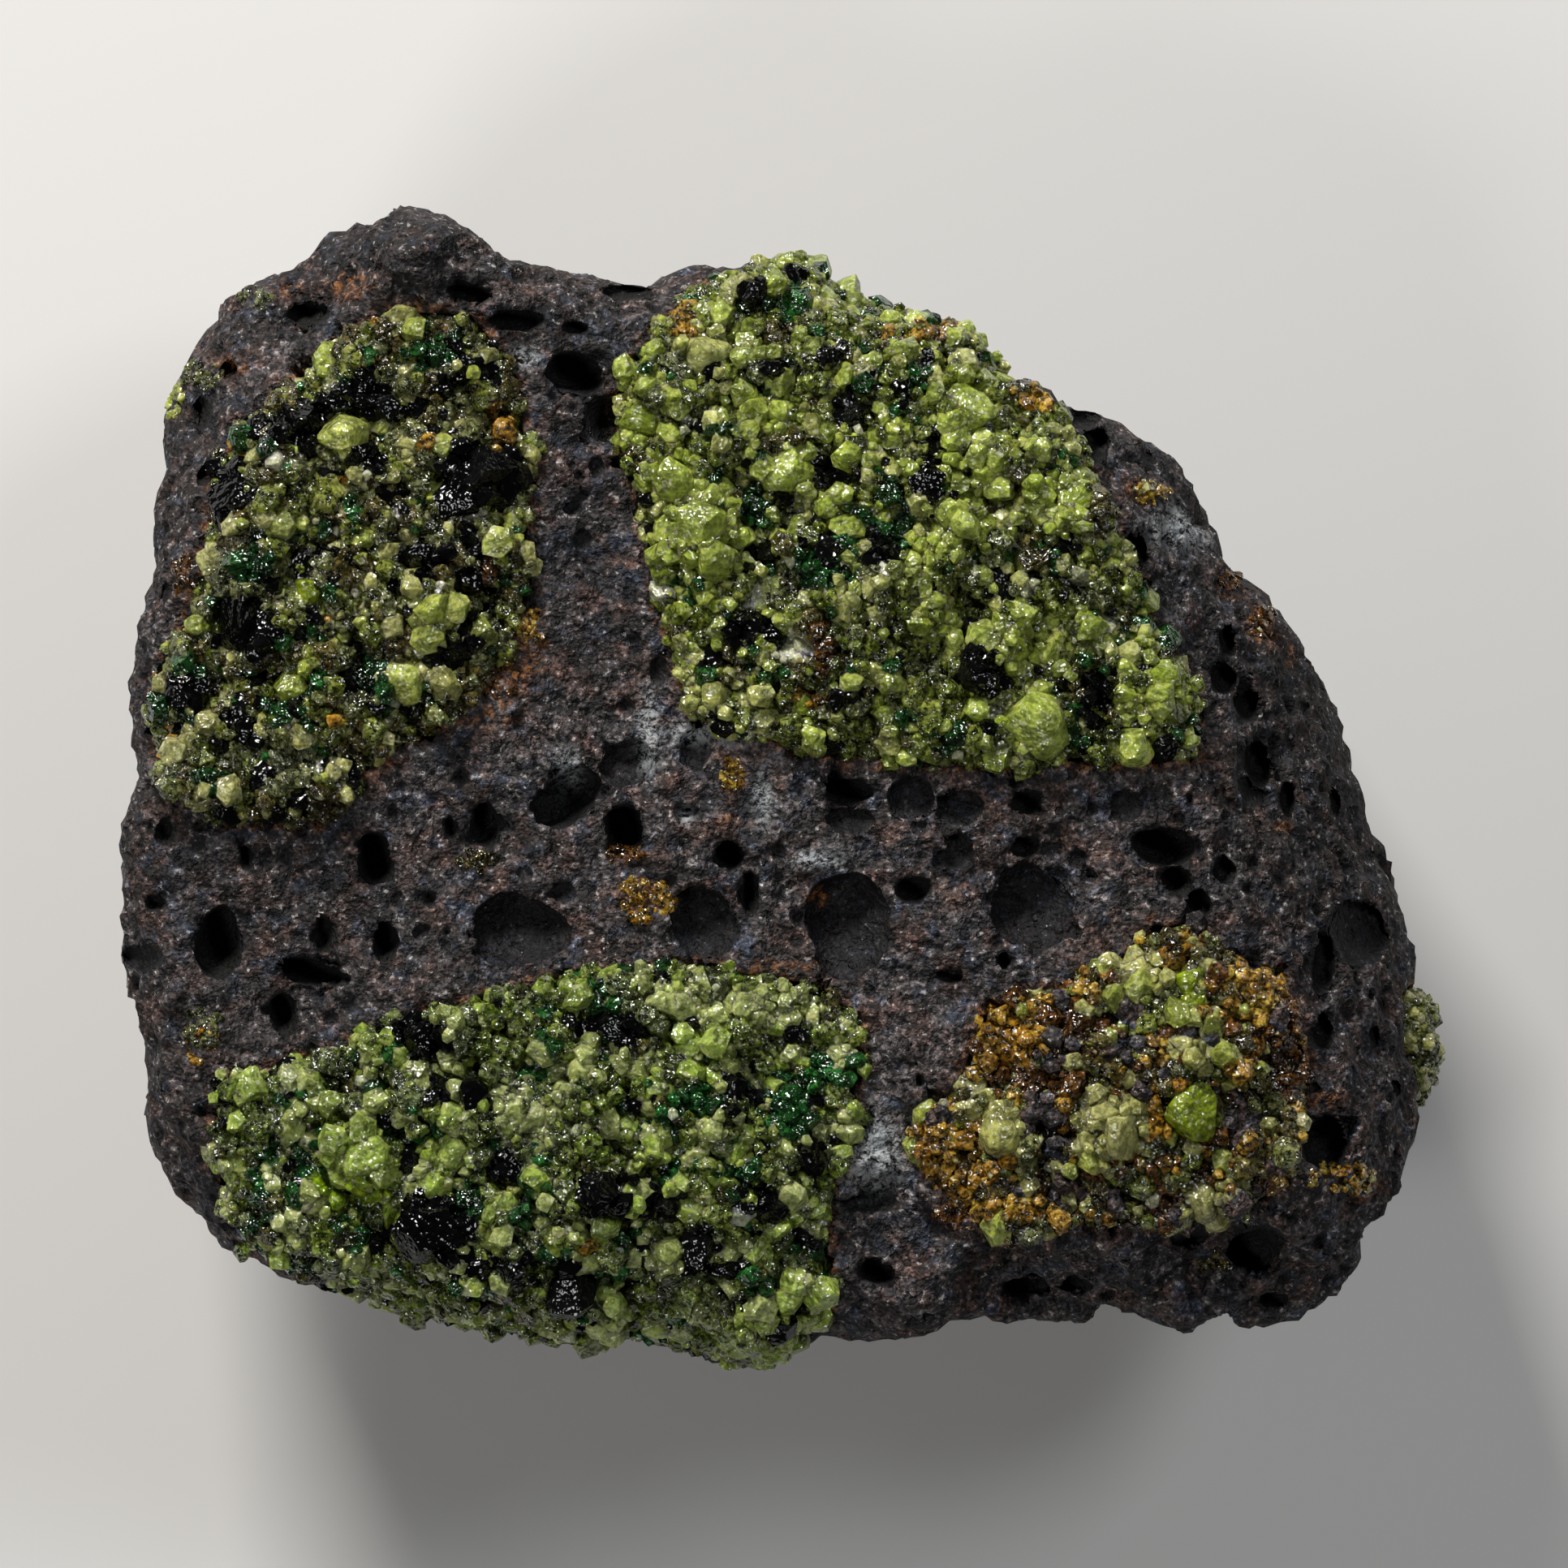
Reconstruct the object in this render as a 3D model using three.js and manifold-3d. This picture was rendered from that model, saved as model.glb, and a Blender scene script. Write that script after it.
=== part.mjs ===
// Peridot in basalt: a hand specimen of dark bubbly basalt that carries four large granular
// peridot nodules and one small sliver. It lies on its broad back with the display face up.
// Millimetres, +Z up. The origin is on the resting face, under the middle of the outline.
// +X runs along the longest side of the specimen.

import * as THREE from 'three';
import { mergeVertices } from 'three/addons/utils/BufferGeometryUtils.js';
import { ImprovedNoise } from 'three/addons/math/ImprovedNoise.js';
import Module from 'manifold-3d';

const wasm = await Module();
wasm.setup();

// Driving dimensions
const thickness = 34; // resting face to the middle of the display face
const fittingGap = 0.36; // clearance between a nodule and its pocket
const noduleRise = 0.7; // how far the nodules stand proud of the basalt
const grainJitter = { rise: 0.75, shift: 0.6 }; // how uneven the crystalline surface is
const waistInset = 0.9; // outline of the back rim, as a share of the display outline
const backRimHeight = 7.5; // height of the back rim above the resting face
const backSag = 2.4; // how far the back would bulge below the resting face
const flankCurve = 1.8; // how late the flanks turn inwards on their way down
const backCurve = 2.2; // how late the back turns up to its rim
const basaltRoughness = { coarse: 0.9, fine: 0.55 }; // height of the lumps
const lumpSize = { coarse: 9, fine: 3.6 }; // width of the lumps
const flankRoughness = 3.4; // how much rougher the flanks and the back are than the face
const overshoot = 0.9; // how far the rough body passes the outline before it is trimmed to it

// Where the display face turns into the side, and the side into the back
const frontAngle = THREE.MathUtils.degToRad(96);
const backAngle = THREE.MathUtils.degToRad(138);

// How finely the surfaces are faceted
const bodyDetail = 8;
const grainDetail = 11;
const crystalDetail = 3;
const pocketLevels = 3;

// Shape of the pockets that hold the nodules
const pocketForm = {
  openTop: thickness + 8, // height of the open top, clear of every grain
  wall: 3, // depth of the upright wall below the display face
  taper: 2.2, // how long the wall stays steep before it turns in
  floor: 0.42, // width of the floor, as a share of the outline
  crystalReach: 0.62, // share of the depth down to which crystals stand out on the edge
};

// Crystals that stud the nodules: sizes, how far they are sunk, and their proportions
const crystalForm = { smallest: 1.3, largest: 2.0, sunk: 0.3, narrow: 0.85, wide: 1.15 };

// Outline of the specimen, seen from above, clockwise from the upper left corner
const specimenMiddle = [-3, -3];
const specimenOutline = [
  [-34.7, 30.0], [-33.3, 31.0], [-31.0, 31.6], [-29.4, 32.4], [-28.4, 34.2],
  [-26.1, 34.9], [-24.4, 36.0], [-22.1, 35.9], [-19.5, 34.2], [-17.5, 32.4],
  [-12.0, 31.2], [-8.2, 30.6], [-6.7, 31.7], [-2.9, 32.0], [-1.3, 32.8],
  [0.9, 32.2], [3.7, 29.7], [6.1, 29.0], [9.3, 28.7], [12.6, 26.3],
  [13.9, 24.8], [16.3, 24.6], [17.6, 23.1], [19.5, 23.0], [21.6, 21.4],
  [23.8, 20.9], [26.8, 15.9], [27.4, 13.6], [29.4, 12.8], [31.5, 10.1],
  [33.4, 7.9], [35.3, 2.4], [36.8, -3.3], [38.4, -3.9], [38.3, -5.9],
  [38.8, -9.0], [39.8, -12.4], [39.3, -14.5], [39.3, -19.0], [39.2, -22.8],
  [37.6, -26.8], [35.8, -26.8], [35.4, -31.7], [34.2, -33.4], [29.9, -33.6],
  [28.4, -33.8], [27.4, -32.3], [26.2, -33.7], [25.3, -34.3], [21.0, -32.6],
  [20.3, -31.8], [18.8, -33.5], [11.5, -33.0], [7.9, -34.2], [2.9, -34.1],
  [-0.8, -35.7], [-2.9, -36.2], [-7.7, -34.6], [-12.5, -34.7], [-20.9, -33.1],
  [-25.8, -31.5], [-30.4, -30.7], [-35.3, -28.5], [-36.1, -26.5], [-37.7, -25.8],
  [-38.3, -23.7], [-39.9, -20.9], [-39.2, -17.9], [-40.6, -11.9], [-41.1, -9.6],
  [-40.8, -6.1], [-41.1, -3.6], [-39.7, 0.6], [-40.5, 6.5], [-39.0, 13.1],
  [-38.4, 21.1], [-37.9, 24.5], [-36.6, 26.6],
];

// Radius of the rounded shoulder round the display face, by compass angle in degrees
const shoulders = [
  [-180, 4], [-125, 7], [-95, 10], [-75, 6], [-50, 3], [-20, 4],
  [30, 5], [70, 6], [90, 7], [110, 5], [145, 4], [180, 4],
];

// Planes along which the flanks broke: which way they face, and how far out they lie
const breaks = [
  { facing: [-0.82, -0.1, -0.56], distance: 32 },
  { facing: [-0.5, 0.62, -0.6], distance: 34 },
  { facing: [0.08, 0.8, -0.6], distance: 28.5 },
  { facing: [0.68, 0.4, -0.61], distance: 29 },
  { facing: [0.72, -0.3, -0.62], distance: 34 },
  { facing: [0.12, -0.82, -0.56], distance: 27 },
  { facing: [-0.55, -0.62, -0.56], distance: 31.5 },
];

// The right flank falls away behind a crease
const rightCrease = { from: [16, 26], to: [33, -24], fall: 0.62, power: 1.25 };
// The upper left corner lies behind a step
const cornerStep = { from: [-38.5, 13], to: [-23, 31.5], width: 3.2, drop: 4.5 };
// A ledge lies below the lower right nodule
const lowerLedge = {
  from: [11.5, -29.6],
  to: [37.5, -26.4],
  width: 1.3,
  drop: 6.5,
  start: 10.5, // where along X the ledge begins
  full: 13.5, // and where it has its whole depth
};

// Broad swells and hollows of the display face: place, half widths, height
const swells = [
  { at: [-23.6, 33.4], size: [4.6, 3.0], height: 4.2 }, // knob on the upper left edge
  { at: [-34.0, 27.0], size: [3.5, 3.0], height: 1.6 }, // lump on the corner
  { at: [-11.8, 17.0], size: [3.4, 14.0], height: -1.1 }, // groove between the upper nodules
  { at: [-26.5, 12.0], size: [9.0, 13.0], height: 0.9 }, // upper left nodule
  { at: [8.0, 15.0], size: [14.0, 12.0], height: 1.2 }, // upper right nodule
  { at: [-14.0, -22.0], size: [16.0, 9.0], height: 1.1 }, // lower left nodule
  { at: [20.5, -18.5], size: [9.0, 6.5], height: 1.3 }, // lower right nodule
  { at: [-32.5, -13.0], size: [4.5, 2.6], height: -1.4 }, // broken hollow at the left
  { at: [6.5, -27.5], size: [3.6, 3.4], height: -1.8 }, // hollow between the lower nodules
  { at: [22.5, -32.0], size: [2.6, 1.8], height: 1.8 }, // lump on the ledge
  { at: [31.5, -30.5], size: [2.8, 2.2], height: 1.6 }, // lump on the ledge
];

// Nodules: outline seen from above, middle, and depth of the pocket that holds them.
// An outline that runs past the specimen lets its nodule wrap over the edge.
const nodules = [
  {
    name: 'peridot_nodule_upper_left',
    middle: [-26.8, 13.3],
    depth: 12,
    outline: [
      [-24.3, 29.1], [-19.3, 28.9], [-17.0, 26.1], [-15.7, 20.0], [-16.2, 9.8],
      [-18.8, 5.6], [-25.8, 0.8], [-28.8, -2.2], [-34.1, -2.2], [-38.4, 0.3],
      [-38.7, 6.1], [-36.3, 10.6], [-34.8, 19.1], [-29.7, 25.4],
    ],
  },
  {
    name: 'peridot_nodule_upper_right',
    middle: [7.7, 15.8],
    depth: 14,
    outline: [
      [-6.1, 30.7], [-3.5, 33.5], [0.4, 36.0], [5.2, 33.2], [11.5, 30.2],
      [14.4, 26.6], [16.6, 24.0], [19.0, 18.0], [22.0, 12.0], [22.8, 8.3],
      [25.6, 6.6], [25.6, 1.6], [11.7, 1.2], [2.7, 1.8], [-5.4, 4.3], [-7.2, 9.6],
      [-9.1, 18.8], [-10.4, 23.6],
    ],
  },
  {
    name: 'peridot_nodule_lower_left',
    middle: [-15.8, -23.2],
    depth: 13,
    outline: [
      [-34.2, -18.6], [-27.3, -16.4], [-21.1, -13.9], [-13.8, -12.1], [-5.3, -11.4],
      [1.9, -12.3], [4.5, -14.4], [4.2, -20.7], [2.4, -26.2], [3.0, -33.0], [1.2, -38.0],
      [-2.9, -40.0], [-8.6, -38.4], [-16.6, -37.4], [-25.6, -35.4], [-30.6, -31.2],
      [-33.4, -27.4], [-35.4, -22.4],
    ],
  },
  {
    name: 'peridot_nodule_lower_right',
    middle: [21.6, -18.4],
    depth: 9,
    outline: [
      [22.7, -8.7], [25.1, -8.9], [27.4, -11.6], [30.3, -11.4], [32.5, -17.6],
      [31.2, -23.2], [29.0, -25.6], [23.7, -27.2], [17.2, -26.7], [13.7, -28.4],
      [12.4, -26.8], [9.2, -24.2], [7.6, -22.0], [10.7, -18.7], [12.3, -14.2],
      [18.2, -11.9], [21.2, -11.0],
    ],
  },
];

// Sliver of peridot that bulges out of the right hand edge
const sliver = {
  name: 'peridot_sliver_right_edge',
  at: [38.8, -16.8, 18.5],
  size: [2.2, 4.2, 3.6],
  crystals: 4,
  smallest: 1.0,
  largest: 1.5,
  spread: 0.75, // how far out of the core the crystals sit
};

// Large crystals that catch the eye: place seen from above, and radius
const largeCrystals = [
  [-21.7, 10.9, 1.9], [-29.6, 11.6, 1.6], [-27.1, 21.6, 1.5], [-31.3, 19.6, 1.2],
  [-18.8, 18.9, 1.9], [-32.5, 9.6, 1.9],
  [-6.8, 18.8, 2.0], [-4.8, 15.3, 2.5], [0.2, 19.3, 1.7], [14.6, 20.2, 2.3],
  [15.2, 4.0, 2.1], [14.2, 8.8, 2.0], [22.6, 5.4, 1.7], [12.6, 7.4, 1.8],
  [-26.0, -23.2, 2.2], [-15.9, -20.8, 1.9], [-14.2, -15.9, 1.7], [-21.7, -27.6, 2.0],
  [-1.6, -33.2, 2.2],
  [24.9, -12.3, 1.6], [25.2, -20.4, 1.9], [20.1, -21.2, 2.3], [13.4, -21.8, 1.8],
  [21.8, -11.6, 1.5],
];

// Bubbles broken open on the display face: place, half widths, depth
const bubbles = [
  [-34.8, -9.9, 1.4, 2.3, 3.0], [-29.1, -11.7, 2.4, 1.0, 1.8], [-30.9, -14.2, 1.0, 1.4, 2.2],
  [-25.2, -4.7, 1.2, 1.7, 2.4], [-24.6, -9.7, 0.9, 1.2, 1.8], [-18.5, -2.4, 0.9, 1.4, 2.2],
  [-16.3, -8.9, 3.0, 2.2, 1.3], [-13.3, -0.9, 2.0, 1.9, 2.8], [-9.6, 1.3, 2.0, 1.5, 0.9],
  [-9.8, -2.9, 1.5, 1.5, 2.4], [-3.3, -4.3, 1.0, 1.1, 1.8], [-2.1, -6.6, 0.7, 1.4, 1.7],
  [-4.9, -8.4, 2.1, 2.2, 1.9], [3.9, -0.6, 1.6, 0.9, 1.8], [7.9, -0.9, 1.3, 1.3, 0.9],
  [10.9, -1.6, 1.5, 1.2, 0.9], [10.8, -4.3, 1.0, 1.2, 1.2], [3.9, -8.4, 2.8, 3.1, 1.5],
  [15.2, -7.7, 2.5, 2.4, 1.4], [21.2, -1.6, 1.0, 1.0, 1.5], [23.4, -3.9, 1.8, 1.3, 2.2],
  [23.8, -6.0, 1.2, 1.2, 1.8], [29.4, 1.1, 0.9, 1.5, 2.0], [28.6, 4.9, 1.0, 1.1, 1.7],
  [19.6, 20.6, 0.9, 1.2, 1.6], [35.7, -9.4, 2.0, 2.1, 1.6], [33.4, -12.0, 0.9, 1.8, 2.0],
  [34.0, -21.8, 1.4, 1.8, 2.4], [5.6, -25.4, 1.3, 0.8, 1.7], [6.3, -30.6, 1.1, 0.9, 1.6],
  [15.4, -31.0, 1.4, 0.9, 1.6], [29.2, -29.2, 1.5, 1.3, 1.8], [-29.3, 29.4, 1.4, 0.9, 1.7],
  [-18.6, 30.4, 1.6, 0.8, 1.6], [-12.8, 25.3, 1.9, 1.5, 2.2],
];

// Bubbles on the flanks and the back, spread by the golden angle
const flankBubbles = { count: 10, smallest: 0.9, largest: 2.1 };
const backBubbles = { count: 6, smallest: 1.2, largest: 2.6, reach: 0.76, clearMiddle: 8 };
const smallBubble = 1.45; // half width up to which a bubble has the fewest facets
const largeBubble = 2.7; // half width above which a bubble has the most facets
const goldenAngle = Math.PI * (3 - Math.sqrt(5));

const basaltMaterial = new THREE.MeshStandardMaterial({
  name: 'basalt',
  color: 0x454046,
  roughness: 0.95,
  metalness: 0,
});

const peridotMaterial = new THREE.MeshStandardMaterial({
  name: 'peridot',
  color: 0x93a244,
  roughness: 0.35,
  metalness: 0,
});

const noise = new ImprovedNoise();

// Steady random numbers between 0 and 1, so that every build gives the same specimen
function randomSource(seed) {
  let state = seed;
  return () => {
    state = (state * 1664525 + 1013904223) % 4294967296;
    return state / 4294967296;
  };
}

// Distance from the middle of a closed outline to its edge, in one direction
function outlineRadius(outline, middle, angle) {
  const along = new THREE.Vector2(Math.cos(angle), Math.sin(angle));
  let farthest = 0;
  outline.forEach((point, index) => {
    const next = outline[(index + 1) % outline.length];
    const start = new THREE.Vector2(point[0] - middle[0], point[1] - middle[1]);
    const side = new THREE.Vector2(next[0] - point[0], next[1] - point[1]);
    const spread = along.cross(side);
    if (Math.abs(spread) < 1e-9) return;
    const share = start.cross(along) / spread;
    const distance = start.cross(side) / spread;
    if (share >= 0 && share <= 1) farthest = Math.max(farthest, distance);
  });
  return farthest;
}

// Value at an angle, between the listed angles
function valueAtAngle(list, degrees) {
  const last = list.findIndex(([angle]) => angle >= degrees);
  if (last <= 0) return list[0][1];
  const [fromAngle, fromValue] = list[last - 1];
  const [toAngle, toValue] = list[last];
  return THREE.MathUtils.mapLinear(degrees, fromAngle, toAngle, fromValue, toValue);
}

// Distance of a point to the left of a line, negative on its right
function beyondLine(line, x, y) {
  const alongX = line.to[0] - line.from[0];
  const alongY = line.to[1] - line.from[1];
  const area = alongX * (y - line.from[1]) - alongY * (x - line.from[0]);
  return area / Math.hypot(alongX, alongY);
}

function lumps(x, y, z) {
  const coarse = noise.noise(x / lumpSize.coarse, y / lumpSize.coarse, z / lumpSize.coarse);
  const fine = noise.noise(x / lumpSize.fine, y / lumpSize.fine, z / lumpSize.fine);
  return basaltRoughness.coarse * coarse + basaltRoughness.fine * fine;
}

// Height of the display face before its shoulder turns down
function faceHeight(x, y) {
  let height = thickness;
  const rightFlank = Math.max(0, beyondLine(rightCrease, x, y));
  height -= rightCrease.fall * rightFlank ** rightCrease.power;
  const corner = beyondLine(cornerStep, x, y);
  height -= cornerStep.drop * THREE.MathUtils.smoothstep(corner, 0, cornerStep.width);
  const ledge = -beyondLine(lowerLedge, x, y);
  const ledgeEnd = THREE.MathUtils.smoothstep(x, lowerLedge.start, lowerLedge.full);
  height -= lowerLedge.drop * ledgeEnd * THREE.MathUtils.smoothstep(ledge, 0, lowerLedge.width);
  for (const swell of swells) {
    const acrossX = (x - swell.at[0]) / swell.size[0];
    const acrossY = (y - swell.at[1]) / swell.size[1];
    height += swell.height * Math.exp(-(acrossX ** 2 + acrossY ** 2));
  }
  return height + lumps(x, y, thickness);
}

// How far the shoulder has turned down at a distance inside the outline
function shoulderDrop(angle, inside) {
  const radius = valueAtAngle(shoulders, THREE.MathUtils.radToDeg(angle));
  const within = Math.max(0, radius - inside);
  return radius - Math.sqrt(Math.max(0, radius ** 2 - within ** 2));
}

// Height of the display side over a point of the plan
function displayHeight(x, y) {
  const acrossX = x - specimenMiddle[0];
  const acrossY = y - specimenMiddle[1];
  const angle = Math.atan2(acrossY, acrossX);
  const inside = outlineRadius(specimenOutline, specimenMiddle, angle) - Math.hypot(acrossX, acrossY);
  return faceHeight(x, y) - shoulderDrop(angle, Math.max(0, inside));
}

// Pulls a point back to the planes along which the flanks broke
function breakOff(point) {
  const middle = new THREE.Vector3(...specimenMiddle, thickness / 2);
  for (const { facing, distance } of breaks) {
    const normal = new THREE.Vector3(...facing).normalize();
    const beyond = point.clone().sub(middle).dot(normal) - distance;
    if (beyond > 0) point.addScaledVector(normal, -beyond);
  }
  return point;
}

// Moves a point of the flanks or the back out or in by the lumps of the broken rock
function roughen(point, strength) {
  const outward = point.clone().sub(new THREE.Vector3(...specimenMiddle, thickness / 2)).normalize();
  const height = flankRoughness * lumps(point.x, point.y, point.z) * strength;
  return point.addScaledVector(outward, height);
}

// Height of the back at a share of the way from its middle to its rim
function backHeight(share) {
  return THREE.MathUtils.lerp(-backSag, backRimHeight, share ** backCurve);
}

// Point of the specimen's skin that a direction from its middle leads to
function skinPoint(direction, grow) {
  const polar = Math.acos(THREE.MathUtils.clamp(direction.z, -1, 1));
  const angle = Math.atan2(direction.y, direction.x);
  const radius = outlineRadius(specimenOutline, specimenMiddle, angle) + overshoot + grow;
  const at = (share, height) => new THREE.Vector3(
    specimenMiddle[0] + Math.cos(angle) * radius * share,
    specimenMiddle[1] + Math.sin(angle) * radius * share,
    height,
  );
  if (polar <= frontAngle) {
    const point = at(Math.sin(polar / 2) / Math.sin(frontAngle / 2), 0);
    point.z = displayHeight(point.x, point.y) + grow;
    return point;
  }
  if (polar <= backAngle) {
    const down = (polar - frontAngle) / (backAngle - frontAngle);
    const rim = at(1, 0);
    const rimHeight = displayHeight(rim.x, rim.y) + grow;
    const share = THREE.MathUtils.lerp(1, waistInset, down ** flankCurve);
    const point = breakOff(at(share, THREE.MathUtils.lerp(rimHeight, backRimHeight, down)));
    return roughen(point, Math.min(1, 3 * down));
  }
  const share = Math.sin((Math.PI - polar) / 2) / Math.sin((Math.PI - backAngle) / 2);
  return roughen(breakOff(at(waistInset * share, backHeight(share) - grow * (1 - share))), share);
}

// Unit directions of a geodesic sphere
function geodesicDirections(detail) {
  const sphere = weld(new THREE.IcosahedronGeometry(1, detail));
  const place = sphere.getAttribute('position');
  const directions = [];
  for (let i = 0; i < place.count; i += 1) {
    directions.push(new THREE.Vector3().fromBufferAttribute(place, i).normalize());
  }
  return directions;
}

// Leaves only positions, and joins the corners that lie together
function weld(geometry) {
  geometry.deleteAttribute('normal');
  geometry.deleteAttribute('uv');
  return mergeVertices(geometry, 1e-4);
}

function toSolid(geometry) {
  const welded = weld(geometry);
  const vertProperties = new Float32Array(welded.getAttribute('position').array);
  const triVerts = new Uint32Array(welded.getIndex().array);
  return new wasm.Manifold(new wasm.Mesh({ numProp: 3, vertProperties, triVerts }));
}

function toGeometry(solid) {
  const mesh = solid.getMesh();
  const geometry = new THREE.BufferGeometry();
  geometry.setAttribute('position', new THREE.BufferAttribute(mesh.vertProperties, 3));
  geometry.setIndex(new THREE.BufferAttribute(mesh.triVerts, 1));
  geometry.computeVertexNormals();
  return geometry;
}

// Moves every point of a geometry to where a function puts it
function reshape(geometry, move) {
  const place = geometry.getAttribute('position');
  for (let i = 0; i < place.count; i += 1) {
    const moved = move(new THREE.Vector3().fromBufferAttribute(place, i));
    place.setXYZ(i, moved.x, moved.y, moved.z);
  }
  return geometry;
}

// The whole specimen with its basalt surface
function specimenBody() {
  const sphere = weld(new THREE.IcosahedronGeometry(1, bodyDetail));
  return toSolid(reshape(sphere, (point) => skinPoint(point.normalize(), 0)));
}

// The whole specimen with the angular surface of packed grains
function grainBody(random) {
  const sphere = weld(new THREE.IcosahedronGeometry(1, grainDetail));
  return toSolid(reshape(sphere, (point) => {
    const direction = point.normalize();
    const skin = skinPoint(direction, noduleRise);
    const spread = () => (random() - 0.5) * 2;
    skin.x += grainJitter.shift * spread();
    skin.y += grainJitter.shift * spread();
    skin.z += grainJitter.rise * spread();
    return skin;
  }));
}

// Everything below the resting face
function underground() {
  const size = 200;
  const block = new THREE.BoxGeometry(size, size, size / 2);
  block.translate(0, 0, -size / 4);
  return toSolid(block);
}

// Corner of a clockwise outline, moved outwards by a small amount
function outlineCorner(outline, index, grow) {
  const corner = new THREE.Vector2(...outline[index]);
  const before = new THREE.Vector2(...outline.at(index - 1));
  const after = new THREE.Vector2(...outline[(index + 1) % outline.length]);
  const arriving = corner.clone().sub(before).normalize();
  const leaving = after.sub(corner).normalize();
  const outward = new THREE.Vector2(-arriving.y - leaving.y, arriving.x + leaving.x);
  return corner.addScaledVector(outward, (2 * grow) / outward.lengthSq());
}

// Bowl shaped solid under a nodule's outline, open upwards past the display face
function pocket(nodule, grow) {
  const sides = nodule.outline.length;
  const faceLevel = faceHeight(...nodule.middle);
  const wallFoot = faceLevel - pocketForm.wall;
  const floorHeight = faceLevel - nodule.depth - grow;
  const cylinder = new THREE.CylinderGeometry(1, 1, 1, sides, pocketLevels);
  cylinder.rotateX(Math.PI / 2);
  return toSolid(reshape(cylinder, (point) => {
    const level = Math.round((0.5 - point.z) * pocketLevels);
    const down = Math.max(0, level - 1) / (pocketLevels - 1);
    const width = Math.max(pocketForm.floor, Math.sqrt(1 - down ** pocketForm.taper));
    const clockwiseTurn = Math.atan2(-point.x, -point.y) / (2 * Math.PI);
    const index = Math.round((clockwiseTurn + 1) * sides) % sides;
    const middle = new THREE.Vector2(...nodule.middle);
    const corner = outlineCorner(nodule.outline, index, grow);
    const place = middle.lerp(corner, width * Math.round(Math.hypot(point.x, point.y)));
    const height = THREE.MathUtils.lerp(wallFoot, floorHeight, down);
    return new THREE.Vector3(place.x, place.y, level === 0 ? pocketForm.openTop : height);
  }));
}

// Upright prism over the specimen's outline, which trims the rough body to it
function outlinePrism() {
  const shape = new THREE.Shape(specimenOutline.map((point) => new THREE.Vector2(...point)));
  const prism = new THREE.ExtrudeGeometry(shape, { depth: 3 * thickness, bevelEnabled: false });
  return toSolid(prism.translate(0, 0, -thickness));
}

// Whether a point lies in a nodule, by a margin
function isInNodule(nodule, point, margin) {
  const acrossX = point.x - nodule.middle[0];
  const acrossY = point.y - nodule.middle[1];
  const edge = outlineRadius(nodule.outline, nodule.middle, Math.atan2(acrossY, acrossX));
  const lowest = faceHeight(...nodule.middle) - nodule.depth * pocketForm.crystalReach;
  return Math.hypot(acrossX, acrossY) < edge - margin && point.z > lowest;
}

// One crystal with flat faces, squashed and turned at random, and the room that it needs
function crystalPair(random, radius, place) {
  const shape = new THREE.IcosahedronGeometry(radius, 0);
  const proportion = () => THREE.MathUtils.lerp(crystalForm.narrow, crystalForm.wide, random());
  shape.scale(proportion(), proportion(), proportion());
  shape.rotateX(random() * Math.PI);
  shape.rotateY(random() * Math.PI);
  shape.rotateZ(random() * Math.PI);
  const room = withClearance(shape, [radius, radius, radius]);
  return {
    crystal: toSolid(shape.translate(...place)),
    room: toSolid(room.translate(...place)),
  };
}

// A copy of a shape round the middle, larger by the fitting gap
function withClearance(shape, size) {
  const cornerGap = 1.3 * fittingGap; // the flats lie nearer the middle than the corners
  return shape.clone().scale(...size.map((half) => 1 + cornerGap / half));
}

// Places and sizes of the crystals that stud a nodule
function crystalPlaces(nodule, random) {
  const places = [];
  for (const [x, y, radius] of largeCrystals) {
    const point = new THREE.Vector3(x, y, displayHeight(x, y) + noduleRise);
    if (isInNodule(nodule, point, 0)) places.push({ point, radius });
  }
  for (const direction of geodesicDirections(crystalDetail)) {
    const point = skinPoint(direction, noduleRise);
    const radius = THREE.MathUtils.lerp(crystalForm.smallest, crystalForm.largest, random());
    const crowded = places.some((other) => other.point.distanceTo(point) < other.radius + radius);
    if (isInNodule(nodule, point, radius) && !crowded) places.push({ point, radius });
  }
  return places;
}

// A nodule, trimmed to the outline, and the room that it takes out of the basalt
function buildNodule(nodule, skin, prism, random) {
  let solid = skin.intersect(pocket(nodule, 0));
  let room = pocket(nodule, fittingGap);
  for (const { point, radius } of crystalPlaces(nodule, random)) {
    const sunk = [point.x, point.y, point.z - crystalForm.sunk * radius];
    const pair = crystalPair(random, radius, sunk);
    solid = solid.add(pair.crystal);
    room = room.add(pair.room);
  }
  return { solid: largestBody(solid.intersect(prism)), room };
}

// The sliver is a small core with crystals on the side that faces outwards
function buildSliver(random) {
  const [x, y, z] = sliver.at;
  const [halfX, halfY, halfZ] = sliver.size;
  const core = new THREE.IcosahedronGeometry(1, 1);
  core.scale(halfX, halfY, halfZ);
  let room = toSolid(withClearance(core, sliver.size).translate(x, y, z));
  let solid = toSolid(core.translate(x, y, z));
  for (let i = 0; i < sliver.crystals; i += 1) {
    const turn = i * goldenAngle;
    const along = 1 - (2 * (i + 0.5)) / sliver.crystals;
    const across = Math.sqrt(1 - along ** 2);
    const radius = THREE.MathUtils.lerp(sliver.smallest, sliver.largest, random());
    const pair = crystalPair(random, radius, [
      x + halfX * sliver.spread * across * Math.abs(Math.cos(turn)),
      y + halfY * sliver.spread * along,
      z + halfZ * sliver.spread * across * Math.sin(turn),
    ]);
    solid = solid.add(pair.crystal);
    room = room.add(pair.room);
  }
  return { solid: largestBody(solid), room };
}

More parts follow.
